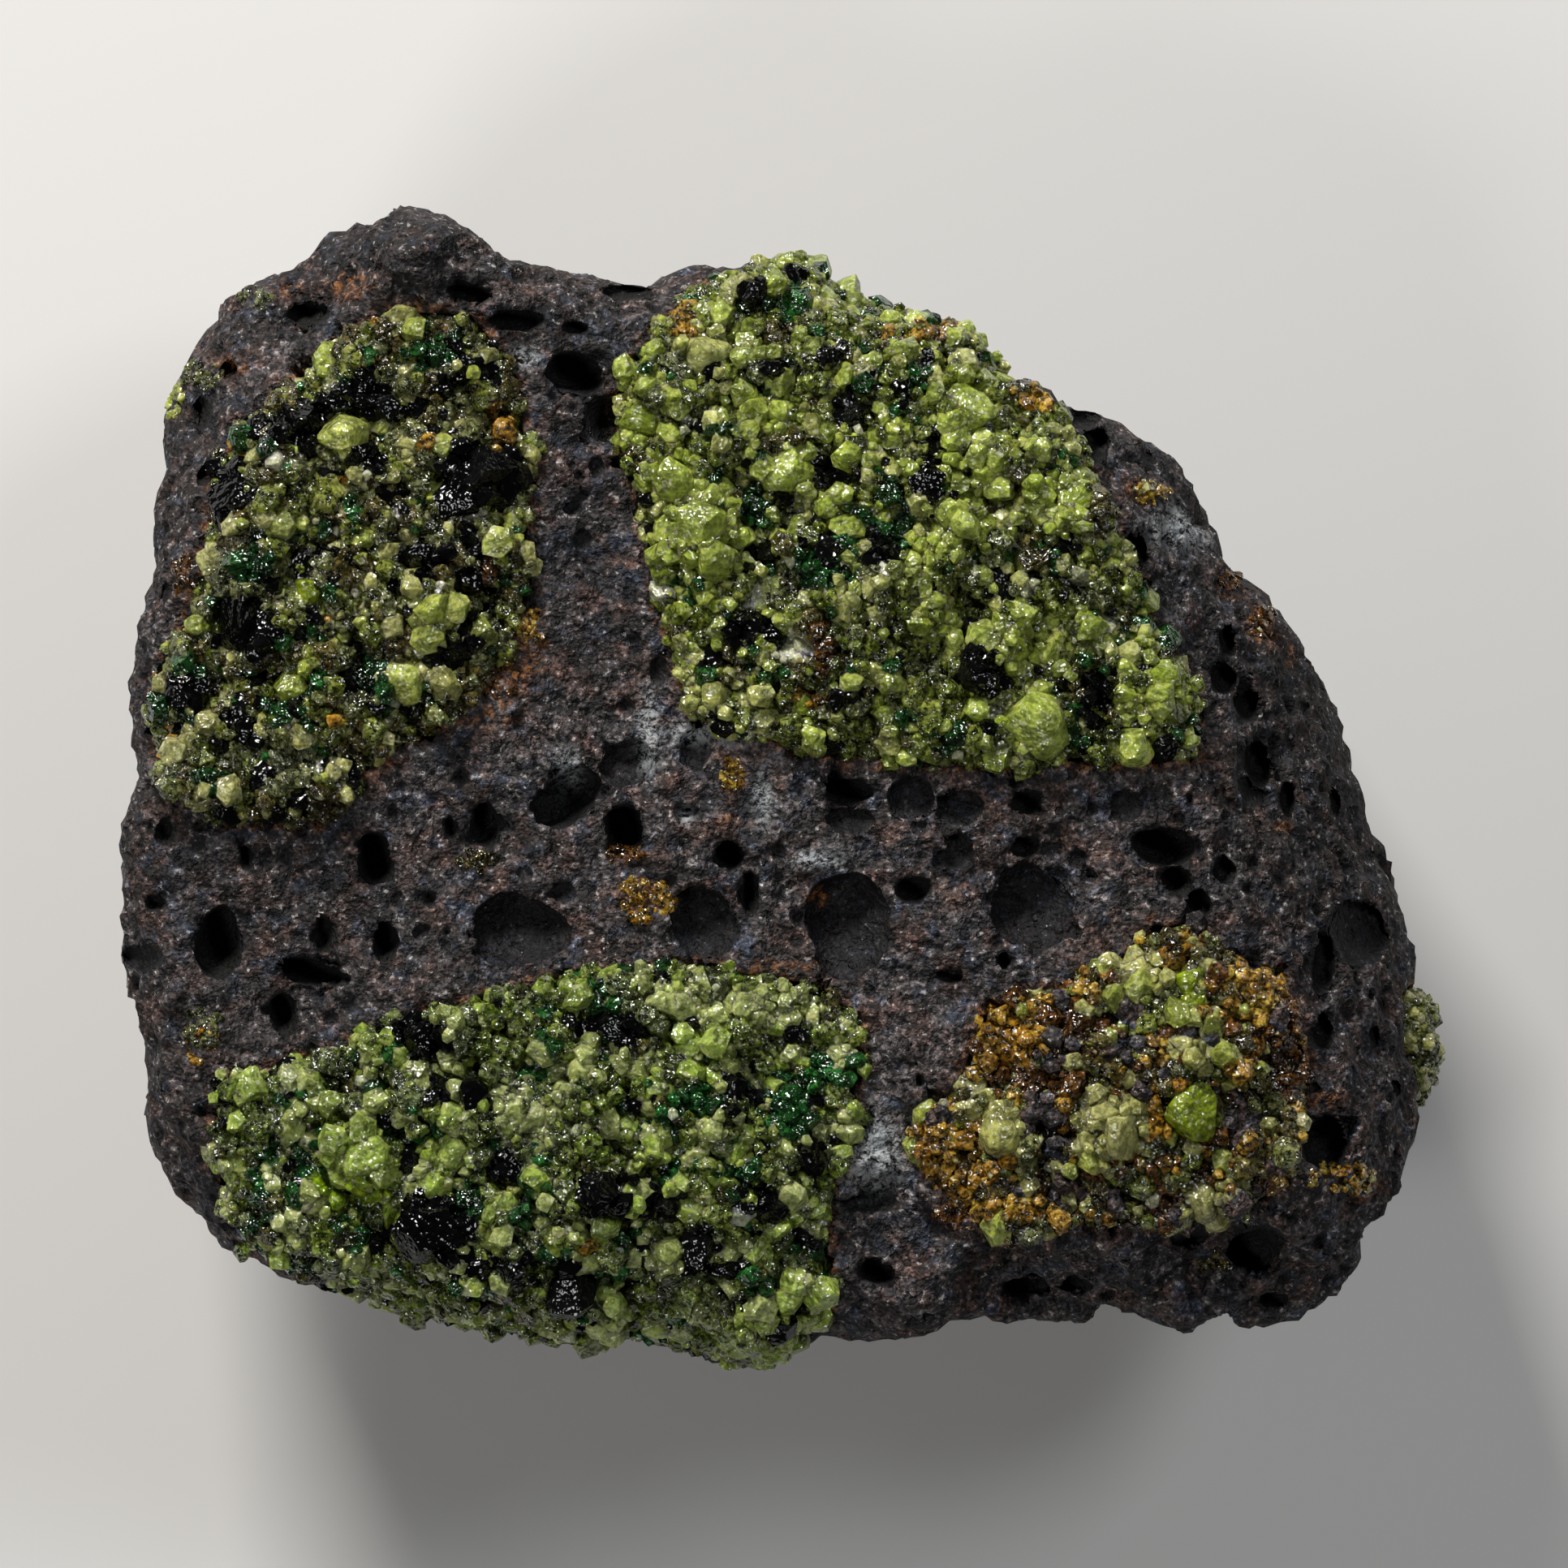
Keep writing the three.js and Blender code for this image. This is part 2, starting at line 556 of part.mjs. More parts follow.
// One bubble as a rounded hollow
function bubbleSolid(place, size) {
  const broadest = Math.max(size[0], size[1]);
  let hollow = new THREE.IcosahedronGeometry(1, 0);
  if (broadest > smallBubble) hollow = new THREE.OctahedronGeometry(1, 1);
  if (broadest > largeBubble) hollow = new THREE.IcosahedronGeometry(1, 1);
  hollow.rotateX(Math.PI / 2);
  hollow.rotateZ(place[0]);
  hollow.scale(...size);
  hollow.translate(...place);
  return toSolid(hollow);
}

// Bubbles broken open on the display face
function faceBubbles() {
  const sunk = 0.12; // how far below the face a bubble's widest part lies, as a share of its depth
  return bubbles.map(([x, y, halfX, halfY, depth]) => (
    bubbleSolid([x, y, displayHeight(x, y) - sunk * depth], [halfX, halfY, depth])
  ));
}

// Bubbles on the flanks, clear of the nodules
function flankBubbleSolids(random) {
  const solids = [];
  for (let i = 0; i < flankBubbles.count; i += 1) {
    const polar = THREE.MathUtils.lerp(frontAngle, backAngle, 0.15 + 0.8 * random());
    const angle = i * goldenAngle;
    const direction = new THREE.Vector3(
      Math.sin(polar) * Math.cos(angle),
      Math.sin(polar) * Math.sin(angle),
      Math.cos(polar),
    );
    const place = skinPoint(direction, 0);
    const size = THREE.MathUtils.lerp(flankBubbles.smallest, flankBubbles.largest, random());
    const inNodule = nodules.some((nodule) => isInNodule(nodule, place, -2 * size));
    const nearSliver = place.distanceTo(new THREE.Vector3(...sliver.at)) < 2 * sliver.size[1];
    if (!inNodule && !nearSliver) solids.push(bubbleSolid(place.toArray(), [size, size, size]));
  }
  return solids;
}

// Bubbles on the back, clear of the middle of the resting face
function backBubbleSolids(random) {
  const solids = [];
  for (let i = 0; i < backBubbles.count; i += 1) {
    const share = backBubbles.reach * Math.sqrt((i + 0.5) / backBubbles.count);
    const angle = i * goldenAngle + 0.6;
    const radius = outlineRadius(specimenOutline, specimenMiddle, angle) * waistInset * share;
    const size = THREE.MathUtils.lerp(backBubbles.smallest, backBubbles.largest, random());
    const height = Math.max(0, backHeight(share));
    const x = specimenMiddle[0] + Math.cos(angle) * radius;
    const y = specimenMiddle[1] + Math.sin(angle) * radius;
    const clearOfOrigin = Math.hypot(x, y) > backBubbles.clearMiddle;
    if (clearOfOrigin) solids.push(bubbleSolid([x, y, height], [size, size, size]));
  }
  return solids;
}

// The piece that is left when thin crumbs have broken off
function largestBody(solid) {
  const bodies = solid.decompose();
  return bodies.reduce((largest, body) => (body.volume() > largest.volume() ? body : largest));
}

function namedMesh(name, solid, material) {
  const mesh = new THREE.Mesh(toGeometry(solid), material);
  mesh.name = name;
  return mesh;
}

function buildSpecimen() {
  const random = randomSource(41);
  const specimen = new THREE.Group();
  const prism = outlinePrism();
  const noduleSkin = grainBody(random);
  let basalt = specimenBody().intersect(prism).subtract(underground());
  for (const nodule of nodules) {
    const { solid, room } = buildNodule(nodule, noduleSkin, prism, random);
    basalt = basalt.subtract(room);
    specimen.add(namedMesh(nodule.name, solid, peridotMaterial));
  }
  const { solid, room } = buildSliver(random);
  basalt = basalt.subtract(room);
  specimen.add(namedMesh(sliver.name, solid, peridotMaterial));
  const hollows = [...faceBubbles(), ...flankBubbleSolids(random), ...backBubbleSolids(random)];
  for (const hollow of hollows) basalt = basalt.subtract(hollow);
  specimen.add(namedMesh('basalt_matrix', largestBody(basalt), basaltMaterial));
  return specimen;
}

// Moves the specimen sideways until the middle of its box is over the origin
function overOrigin(specimen) {
  const middle = new THREE.Box3().setFromObject(specimen).getCenter(new THREE.Vector3());
  specimen.position.set(-middle.x, -middle.y, 0);
  return specimen;
}

export default overOrigin(buildSpecimen());
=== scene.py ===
import math

import bmesh
import bpy
import numpy as np
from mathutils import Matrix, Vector, noise
from mathutils.bvhtree import BVHTree
from mathutils.kdtree import KDTree


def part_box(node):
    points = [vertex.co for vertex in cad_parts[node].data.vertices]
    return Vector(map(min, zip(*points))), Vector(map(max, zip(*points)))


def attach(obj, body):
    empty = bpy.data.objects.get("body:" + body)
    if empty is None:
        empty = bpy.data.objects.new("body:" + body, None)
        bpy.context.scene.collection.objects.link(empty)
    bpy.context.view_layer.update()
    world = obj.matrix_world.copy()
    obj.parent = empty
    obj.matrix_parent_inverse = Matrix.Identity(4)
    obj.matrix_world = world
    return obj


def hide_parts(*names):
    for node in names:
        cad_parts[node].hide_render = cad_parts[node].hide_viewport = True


# Peridot in basalt: a dark bubbly hand specimen with granular peridot nodules, lying on its back.
# Everything is in metres. Places on the display face are written in pixels of the photograph,
# and fromPhoto turns them into metres.

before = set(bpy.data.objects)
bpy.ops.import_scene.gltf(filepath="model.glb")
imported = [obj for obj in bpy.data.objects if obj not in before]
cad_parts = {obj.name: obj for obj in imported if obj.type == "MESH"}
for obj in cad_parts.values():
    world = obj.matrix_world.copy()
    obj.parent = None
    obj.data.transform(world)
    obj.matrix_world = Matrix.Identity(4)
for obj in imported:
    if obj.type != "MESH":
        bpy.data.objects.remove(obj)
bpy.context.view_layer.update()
mm = 0.001
random = np.random.default_rng(7)

shot = {
    "pixelSize": 0.05 * mm,  # one pixel of the photograph, on the display face
    "middlePixel": 966.5,
    "pixels": 1932,
    "middle": (0.05 * mm, 0.10 * mm),  # the point under the lens
    "faceHeight": 34 * mm,
    "distance": 850 * mm,  # from the lens to the display face
    "sensor": 36.0,  # its width in millimetres, as Blender wants it
    "clip": (10 * mm, 10),  # nearest and farthest that the lens sees
}


def fromPhoto(column, row):
    x = (column - shot["middlePixel"]) * shot["pixelSize"] + shot["middle"][0]
    y = (shot["middlePixel"] - row) * shot["pixelSize"] + shot["middle"][1]
    return x, y


# Camera, floor and light

studio = {
    "floorSize": 1200 * mm,
    "floorTone": (0.60, 0.595, 0.585, 1),
    "floorRoughness": 0.9,
    "worldTone": (0.93, 0.96, 1.0, 1),
    "worldStrength": 0.03,
    "lamps": {
        "keyLight": {"at": (-0.20, 0.50, 0.33), "size": 0.18, "power": 6.0, "tone": (1.0, 0.97, 0.93)},
        "fillLight": {"at": (0.36, 0.24, 0.56), "size": 0.18, "power": 1.3, "tone": (0.94, 0.97, 1.0)},
        "lowLight": {"at": (-0.34, -0.26, 0.46), "size": 0.16, "power": 1.1, "tone": (1.0, 0.99, 0.97)},
    },
    "exposure": 0.0,
    "bounces": {"max_bounces": 5, "diffuse_bounces": 2, "glossy_bounces": 2, "transmission_bounces": 4},
}


def addObject(name, data):
    thing = bpy.data.objects.new(name, data)
    bpy.context.scene.collection.objects.link(thing)
    return thing


def placeCamera():
    lens = bpy.data.cameras.new("camera")
    lens.sensor_width = shot["sensor"]
    fieldWidth = shot["pixels"] * shot["pixelSize"]
    lens.lens = shot["sensor"] * shot["distance"] / fieldWidth
    lens.clip_start, lens.clip_end = shot["clip"]
    camera = addObject("camera", lens)
    camera.location = (*shot["middle"], shot["faceHeight"] + shot["distance"])
    bpy.context.scene.camera = camera


def placeLight(name, light):
    lamp = bpy.data.lights.new(name, "AREA")
    lamp.size = light["size"]
    lamp.energy = light["power"]
    lamp.color = light["tone"]
    holder = addObject(name, lamp)
    holder.location = light["at"]
    aim = Vector((0, 0, shot["faceHeight"])) - Vector(light["at"])
    holder.rotation_euler = aim.to_track_quat("-Z", "Y").to_euler()


def placeFloor():
    shape = bmesh.new()
    bmesh.ops.create_grid(shape, x_segments=1, y_segments=1, size=studio["floorSize"] / 2)
    mesh = bpy.data.meshes.new("floor")
    shape.to_mesh(mesh)
    shape.free()
    floor = addObject("floor", mesh)
    paint = bpy.data.materials.new("palePaper")
    paint.use_nodes = True
    shader = paint.node_tree.nodes["Principled BSDF"]
    shader.inputs["Base Color"].default_value = studio["floorTone"]
    shader.inputs["Roughness"].default_value = studio["floorRoughness"]
    mesh.materials.append(paint)


def placeSky():
    world = bpy.data.worlds.new("softSky")
    world.use_nodes = True
    background = world.node_tree.nodes["Background"]
    background.inputs["Color"].default_value = studio["worldTone"]
    background.inputs["Strength"].default_value = studio["worldStrength"]
    bpy.context.scene.world = world
    bpy.context.scene.view_settings.view_transform = "Standard"
    bpy.context.scene.view_settings.exposure = studio["exposure"]
    for name, count in studio["bounces"].items():
        setattr(bpy.context.scene.cycles, name, count)


placeCamera()
for lampName, lampSettings in studio["lamps"].items():
    placeLight(lampName, lampSettings)
placeFloor()
placeSky()
print("camera, floor and light are in place")


# Small helpers for materials

def feed(tree, socket, value):
    # Links another node's output to a socket, or sets the socket to a plain value
    if isinstance(value, bpy.types.NodeSocket):
        tree.links.new(value, socket)
    else:
        socket.default_value = value


def addNode(tree, kind, settings=None, inputs=None):
    node = tree.nodes.new(kind)
    for name, value in (settings or {}).items():
        setattr(node, name, value)
    for name, value in (inputs or {}).items():
        feed(tree, node.inputs[name], value)
    return node


def mixColours(tree, share, first, second, blend="MIX"):
    mix = addNode(tree, "ShaderNodeMix", {"data_type": "RGBA", "blend_type": blend})
    for number, value in ((0, share), (6, first), (7, second)):  # the mix node's own colour sockets
        feed(tree, mix.inputs[number], value)
    return mix.outputs[2]


def between(tree, value, low, high, bottom=0.0, top=1.0):
    # Runs from bottom to top as value goes from low to high
    inputs = {"Value": value, "From Min": low, "From Max": high, "To Min": bottom, "To Max": top}
    return addNode(tree, "ShaderNodeMapRange", {"interpolation_type": "SMOOTHSTEP"}, inputs).outputs[0]


def multiply(tree, first, second):
    node = addNode(tree, "ShaderNodeMath", {"operation": "MULTIPLY"})
    for socket, value in zip(node.inputs, (first, second)):
        feed(tree, socket, value)
    return node.outputs[0]


def greyOf(tree, value):
    inputs = {"Red": value, "Green": value, "Blue": value}
    return addNode(tree, "ShaderNodeCombineColor", None, inputs).outputs[0]


def objectNoise(tree, size, detail=2.0, roughness=0.5):
    # Noise whose lumps are about that many metres wide
    place = addNode(tree, "ShaderNodeTexCoord").outputs["Object"]
    inputs = {"Vector": place, "Scale": 1 / size, "Detail": detail, "Roughness": roughness}
    return addNode(tree, "ShaderNodeTexNoise", {"normalize": True}, inputs).outputs["Fac"]


def objectCells(tree, size):
    place = addNode(tree, "ShaderNodeTexCoord").outputs["Object"]
    return addNode(tree, "ShaderNodeTexVoronoi", None, {"Vector": place, "Scale": 1 / size})


def pickOf(tree, cells):
    # A random number for each cell
    return addNode(tree, "ShaderNodeSeparateColor", None, {"Color": cells.outputs["Color"]}).outputs["Red"]


def attribute(tree, name, output="Fac"):
    return addNode(tree, "ShaderNodeAttribute", {"attribute_name": name}).outputs[output]


def bump(tree, height, distance, under=None):
    inputs = {"Height": height, "Distance": abs(distance), "Strength": 1.0}
    if under is not None:
        inputs["Normal"] = under
    return addNode(tree, "ShaderNodeBump", {"invert": distance < 0}, inputs).outputs["Normal"]


def startMaterial(name):
    material = bpy.data.materials.new(name)
    material.use_nodes = True
    return material, material.node_tree, material.node_tree.nodes["Principled BSDF"]


# Small helpers for meshes

weldReach = 0.001 * mm  # points closer than this are one
highUp = 60 * mm  # above everything: lines straight down start here


def mergedCopy(nodeName, pieceName):
    shape = bmesh.new()
    shape.from_mesh(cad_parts[nodeName].data)
    bmesh.ops.remove_doubles(shape, verts=shape.verts, dist=weldReach)
    mesh = bpy.data.meshes.new(pieceName)
    shape.to_mesh(mesh)
    shape.free()
    return addObject(pieceName, mesh)


def applyModifiers(piece):
    bpy.context.view_layer.update()
    finished = piece.evaluated_get(bpy.context.evaluated_depsgraph_get())
    mesh = bpy.data.meshes.new_from_object(finished)
    piece.modifiers.clear()
    rough = piece.data
    piece.data = mesh
    bpy.data.meshes.remove(rough)
    mesh.name = piece.name


def evenOut(piece, voxel, smoothing):
    # Gives a faceted solid an even fine mesh, and softens its facets
    remesh = piece.modifiers.new("evenMesh", "REMESH")
    remesh.mode = "VOXEL"
    remesh.voxel_size = voxel
    soften = piece.modifiers.new("softenFacets", "SMOOTH")
    soften.iterations = smoothing
    applyModifiers(piece)


def arraysOf(shape):
    # Corners and triangles of a bmesh, which is freed
    shape.verts.index_update()
    corners = np.array([vertex.co[:] for vertex in shape.verts])
    triangles = np.array([[vertex.index for vertex in face.verts] for face in shape.faces])
    shape.free()
    return corners, triangles


def readPoints(mesh, what="co"):
    values = np.empty(len(mesh.vertices) * 3)
    mesh.vertices.foreach_get(what, values)
    return values.reshape(-1, 3)


def writePoints(mesh, points):
    mesh.vertices.foreach_set("co", points.astype(np.float32).ravel())
    mesh.update()


def surfaceOf(mesh):
    corners = [vertex.co for vertex in mesh.vertices]
    return BVHTree.FromPolygons(corners, [tuple(face.vertices) for face in mesh.polygons])


def cadSurface(names):
    # One search tree over several CAD solids
    corners, faces = [], []
    for name in names:
        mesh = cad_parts[name].data
        first = len(corners)
        corners += [vertex.co.copy() for vertex in mesh.vertices]
        faces += [tuple(first + index for index in face.vertices) for face in mesh.polygons]
    return BVHTree.FromPolygons(corners, faces)


def straightDown(surface, x, y):
    # Where a line straight down first meets a surface and the normal there, or None
    return surface.ray_cast(Vector((x, y, highUp)), Vector((0, 0, -1)))[:2]


def treeOf(points):
    tree = KDTree(len(points))
    for index, point in enumerate(points):
        tree.insert(point, index)
    tree.balance()
    return tree


def acrossSpot(points, column, row, halfWidth, halfHeight):
    # How far the points are from the middle of a spot, across and along, in its half widths
    x, y = fromPhoto(column, row)
    acrossX = (points[:, 0] - x) / (halfWidth * shot["pixelSize"])
    acrossY = (points[:, 1] - y) / (halfHeight * shot["pixelSize"])
    return acrossX, acrossY


def fieldOf(points, width, shift=0.0):
    # Smooth noise, about -1 to 1, in lumps of that width. Each shift gives a noise of its own
    offset = Vector((shift * 5.3, shift * 2.9, shift * 7.7))
    return np.array([noise.noise(Vector(point / width) + offset) for point in points])


def addMeasure(mesh, name, values):
    layer = mesh.attributes.new(name, "FLOAT", "POINT")
    layer.data.foreach_set("value", values.astype(np.float32))


def countTriangles(mesh):
    return sum(len(face.vertices) - 2 for face in mesh.polygons)


noduleNames = [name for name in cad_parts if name.startswith("peridot")]
noduleSurface = cadSurface(noduleNames)
basaltSurface = cadSurface(["basalt_matrix"])


# Basalt

basalt = {
    "voxel": 0.56 * mm,
    "smoothing": 5,
    # Relief of the broken rock: width and height of each size of lump
    "lumps": [(3.2 * mm, 0.50 * mm), (1.3 * mm, 0.30 * mm), (0.55 * mm, 0.13 * mm)],
    "fractal": (0.8, 2.1, 3),  # of each lump: smoothness, how much finer its copies are, and how many
    "keptFine": 0.25,  # share of the finest lumps off the display face, where the mesh is coarse
    "calmLining": 0.65,  # share of the relief that the linings of the bubbles lose
    "calmFoot": 1.5 * mm,  # the relief fades out over this height at the floor
    "cragWidth": 2.0 * mm,
    # Scattered round bubbles: pockmarks on the display face, side bubbles everywhere else
    "pockmarks": {"count": 620, "smallest": 0.22 * mm, "largest": 0.62 * mm},
    "sideBubbles": {"count": 230, "smallest": 0.6 * mm, "largest": 2.1 * mm},
    "mostlySmall": 2.2,  # a higher power gives more small ones
    "bubbleDepth": (0.6, 1.1),  # in radii
    "bubbleCatch": 1.05,  # in radii: the rock that a bubble can press in
    "fewestPoints": 4,  # with fewer than these no bubble is pressed
    "bubblesAbove": 0.6 * mm,  # none starts nearer to the floor
    # The display face: how far it may lie below the highest thing over it, how steep it may be (the
    # upward part of its normal), and from which height up it is looked for
    "faceDepth": 3 * mm,
    "faceBubbleDepth": 4.5 * mm,  # the same for the bubbles that are placed one by one
    "faceSlope": 0.3,
    "faceAbove": 12 * mm,
    # How hollow the rock may be where a scattered bubble starts, where it is drawn up to a nodule,
    # and where its mesh is thinned
    "hollowLimits": {"bubble": 0.05, "drawn": 0.3, "thinned": 0.1},
    # The pockets under the nodules
    "hiddenReach": 0.9 * mm,
    "hiddenDepth": 1.5 * mm,
    "keptHidden": 0.10,  # share of the mesh that stays there
    "keptSides": 0.5,  # share that stays on the flanks and the back
    "gap": 0.55 * mm,  # rock this close to a nodule is drawn up to it
    "gapReach": 1.3 * mm,
    "rustRim": {"reach": 1.1 * mm, "full": 1.2, "strength": 0.8},  # the stain round each nodule
}

# Bubbles broken open on the display face, in pixels: column, row, half width, half height, turn in degrees
deepBubbles = [
    (203, 1028, 11, 14, 0), (303, 1058, 9, 16, 0), (230, 1073, 4, 7, 0), (192, 1115, 13, 10, 0),
    (270, 1165, 28, 46, 0), (398, 1152, 11, 22, 0), (348, 1250, 18, 28, 10), (385, 1200, 46, 16, -12),
    (463, 1060, 24, 33, 5), (475, 1160, 16, 24, 0), (530, 1108, 6, 10, 0), (556, 1022, 9, 16, 0),
    (568, 960, 7, 12, 0), (597, 1015, 18, 28, 0), (700, 985, 47, 31, 35), (771, 1025, 30, 30, 0),
    (846, 1000, 14, 10, 0), (900, 1053, 20, 22, 0), (905, 985, 6, 8, 0), (925, 1098, 12, 28, 0),
    (1045, 975, 32, 18, 0), (1265, 990, 20, 16, 0), (1262, 1043, 18, 12, 15), (1232, 1030, 8, 7, 0),
    (1022, 1035, 5, 5, 0), (1125, 1098, 22, 17, 0), (1172, 1202, 17, 10, 0), (1238, 1185, 10, 13, 0),
    (1435, 1045, 37, 25, -10), (1452, 1088, 22, 18, -40), (1478, 1115, 15, 20, 0), (1510, 1075, 13, 17, 0),
    (1555, 945, 18, 30, 15), (1592, 990, 11, 23, 0), (1652, 992, 10, 18, 10), (1510, 838, 18, 20, 0),
    (1543, 870, 17, 20, 0), (1400, 675, 14, 22, 25), (1352, 548, 18, 25, 0), (1340, 515, 20, 14, 0),
    (1420, 560, 8, 12, 0), (1517, 790, 12, 20, 0), (1615, 870, 8, 5, 0), (1720, 1055, 10, 10, 0),
    (1635, 1190, 14, 38, -8), (1632, 1275, 14, 22, 0), (1635, 1415, 28, 36, 0), (1700, 1280, 9, 12, 0),
    (1725, 1345, 8, 12, 0), (1072, 1482, 28, 12, 0), (1085, 1570, 20, 15, 0), (1270, 1590, 28, 15, 0),
    (1325, 1585, 20, 13, 0), (1470, 1530, 20, 12, 0), (1550, 1545, 33, 30, 0), (1580, 1608, 20, 11, 0),
    (1630, 1535, 8, 10, 0), (245, 505, 12, 18, 0), (280, 455, 12, 12, 0), (255, 580, 9, 20, -35),
    (203, 730, 5, 12, 0), (380, 385, 28, 16, 0), (580, 362, 30, 12, -10), (635, 395, 35, 12, 0),
    (710, 405, 15, 10, 0), (710, 460, 36, 27, -20), (665, 485, 6, 6, 0), (770, 358, 30, 10, 0),
]
shallowBubbles = [
    (175, 1180, 30, 18, 0), (640, 1145, 60, 45, 0), (775, 940, 40, 30, 30), (855, 925, 20, 25, 0),
    (868, 1135, 40, 45, 25), (1045, 1012, 30, 18, 0), (1125, 985, 27, 26, 0), (1185, 995, 30, 25, 0),
    (1183, 1050, 20, 25, 0), (1045, 1135, 55, 62, 0), (1270, 1120, 50, 48, 0), (1390, 995, 20, 20, 0),
    (1545, 975, 20, 20, 0), (1680, 1155, 40, 42, 0), (725, 540, 13, 11, 0), (737, 577, 12, 14, 0),
    (705, 627, 14, 11, 0), (720, 665, 10, 13, 0), (815, 830, 15, 20, 0), (690, 1100, 22, 14, 0),
    (520, 1150, 14, 12, 0), (960, 1050, 10, 14, 0), (1330, 1060, 14, 12, 0), (1010, 1210, 16, 10, 0),
]
bubbleForm = {
    # Depth as a share of the narrower half width, and the sides: a low power is steep, a high one a dish
    "deep": {"depth": 1.8, "sides": 0.75},
    "shallow": {"depth": 0.70, "sides": 0.80},
    "near": 2,  # the rock that a bubble looks at, in half widths
    "deepest": 3.2 * mm,
    "longSide": 0.25,  # share of the wider half width that adds to the depth
    "slant": (-0.30, 0.34),  # how much deeper the left and the upper side are
    "waves": {"width": 1.1, "strength": 0.22},  # in the outline, in half widths
    "brim": (1.08, 1.65),  # the rock from here to there gives the level, in half widths
    "fewest": (8, 6),  # points of the brim at first and in the end
    "rounds": 3,  # in which outliers of the brim are left out
    "outlier": 0.35 * mm,  # rock this far below the rest of the brim doesn't count
    "fineRing": (0.94, 0.2),  # where the mesh is finer: middle and width, in half widths
    "darkAt": 0.30 * mm,  # depth at which a lining has its full tone, its own bluish colour darkened as painted shade
    "paintedBlackFrom": (0.45, 0.4),  # depth at which a deep bubble starts to be painted black as painted shade, and for how long
}

# Rust stains and pale crusts, in pixels: column, row, half width, half height
rustSpots = [
    (1522, 718, 34, 22), (1563, 768, 26, 34), (1600, 800, 12, 26), (1360, 940, 110, 9),
    (1180, 938, 90, 8), (771, 1052, 26, 14), (590, 1062, 24, 12), (795, 1108, 34, 28),
    (903, 962, 16, 26), (900, 1010, 22, 10), (1010, 1105, 22, 14),
    (280, 450, 26, 22), (430, 350, 40, 22), (345, 350, 26, 16), (1500, 1215, 34, 16), (1590, 1240, 24, 20),
    (1230, 1280, 36, 26), (1150, 1400, 34, 26), (1180, 1480, 44, 26), (1690, 1470, 34, 18),
    (1640, 1360, 34, 18), (1585, 1020, 16, 12), (650, 800, 30, 60), (600, 880, 50, 22), (230, 710, 22, 18),
    (1290, 480, 70, 22), (1410, 605, 36, 20), (1120, 410, 60, 18), (255, 975, 26, 18), (960, 1190, 60, 9),
]
paleSpots = [
    (1462, 648, 40, 26), (1452, 646, 24, 18), (870, 905, 55, 12), (800, 905, 12, 40),
    (700, 950, 14, 20), (1075, 1420, 34, 40), (1010, 1060, 30, 10), (940, 985, 10, 26),
    (640, 440, 22, 12), (845, 1005, 8, 10),
]

# Zones where the rock is simply drawn lighter or darker, with no cause given: the same, then how much
toneZones = [
    (330, 1120, 270, 190, -0.20), (1640, 930, 150, 330, -0.42), (1470, 1580, 270, 80, -0.05),
    (205, 620, 80, 250, -0.24), (200, 1350, 70, 130, -0.20), (1110, 1330, 90, 130, 0.20),
    (870, 900, 110, 40, 0.75), (730, 760, 60, 150, -0.20), (700, 480, 60, 120, -0.20),
    (470, 310, 160, 80, -0.38), (1470, 600, 100, 130, -0.34),
]
# Where the rock is broken into crags: the same, then their height
crags = [
    (1480, 1575, 270, 75, 1.1 * mm), (1640, 1330, 70, 170, 0.5 * mm), (1100, 1560, 110, 80, 0.6 * mm),
    (480, 290, 150, 50, 0.5 * mm), (230, 1290, 60, 110, 0.5 * mm), (680, 360, 150, 30, 0.5 * mm),
]


def inSpots(points, spots):
    # 1 in the middle of the spots, falling to 0 round them
    strength = np.zeros(len(points))
    for spot in spots:
        acrossX, acrossY = acrossSpot(points, *spot)
        strength = np.maximum(strength, np.exp(-(acrossX ** 2 + acrossY ** 2)))
    return strength


def sumOfSpots(points, spots):
    # Adds up the last number of each spot, falling off from its middle
    total = np.zeros(len(points))
    for *spot, amount in spots:
        total += amount * inSpots(points, [spot])
    return total


def reachOf(points, bubble):
    # Distance from the middle of a bubble, 1 at its brim, and the offsets in metres
    column, row, halfWidth, halfHeight, turn = bubble
    centre = np.array(fromPhoto(column, row))
    halves = np.array([halfWidth, halfHeight]) * shot["pixelSize"]
    cosine, sine = math.cos(math.radians(turn)), math.sin(math.radians(turn))
    away = points[:, :2] - centre
    along = (away[:, 0] * cosine + away[:, 1] * sine) / halves[0]
    aside = (away[:, 1] * cosine - away[:, 0] * sine) / halves[1]
    return np.hypot(along, aside), away, centre, halves


def levelRound(columns, heights, brim):
    # The plane through the rock at the brim of a bubble, or None if too little rock is there
    first, last = bubbleForm["fewest"]
    if brim.sum() < first:
        return None
    for _ in range(bubbleForm["rounds"]):
        plane = np.linalg.lstsq(columns[brim], heights[brim], rcond=None)[0]
        brim = brim & (heights > columns @ plane - bubbleForm["outlier"])
        if brim.sum() < last:
            return None
    return plane


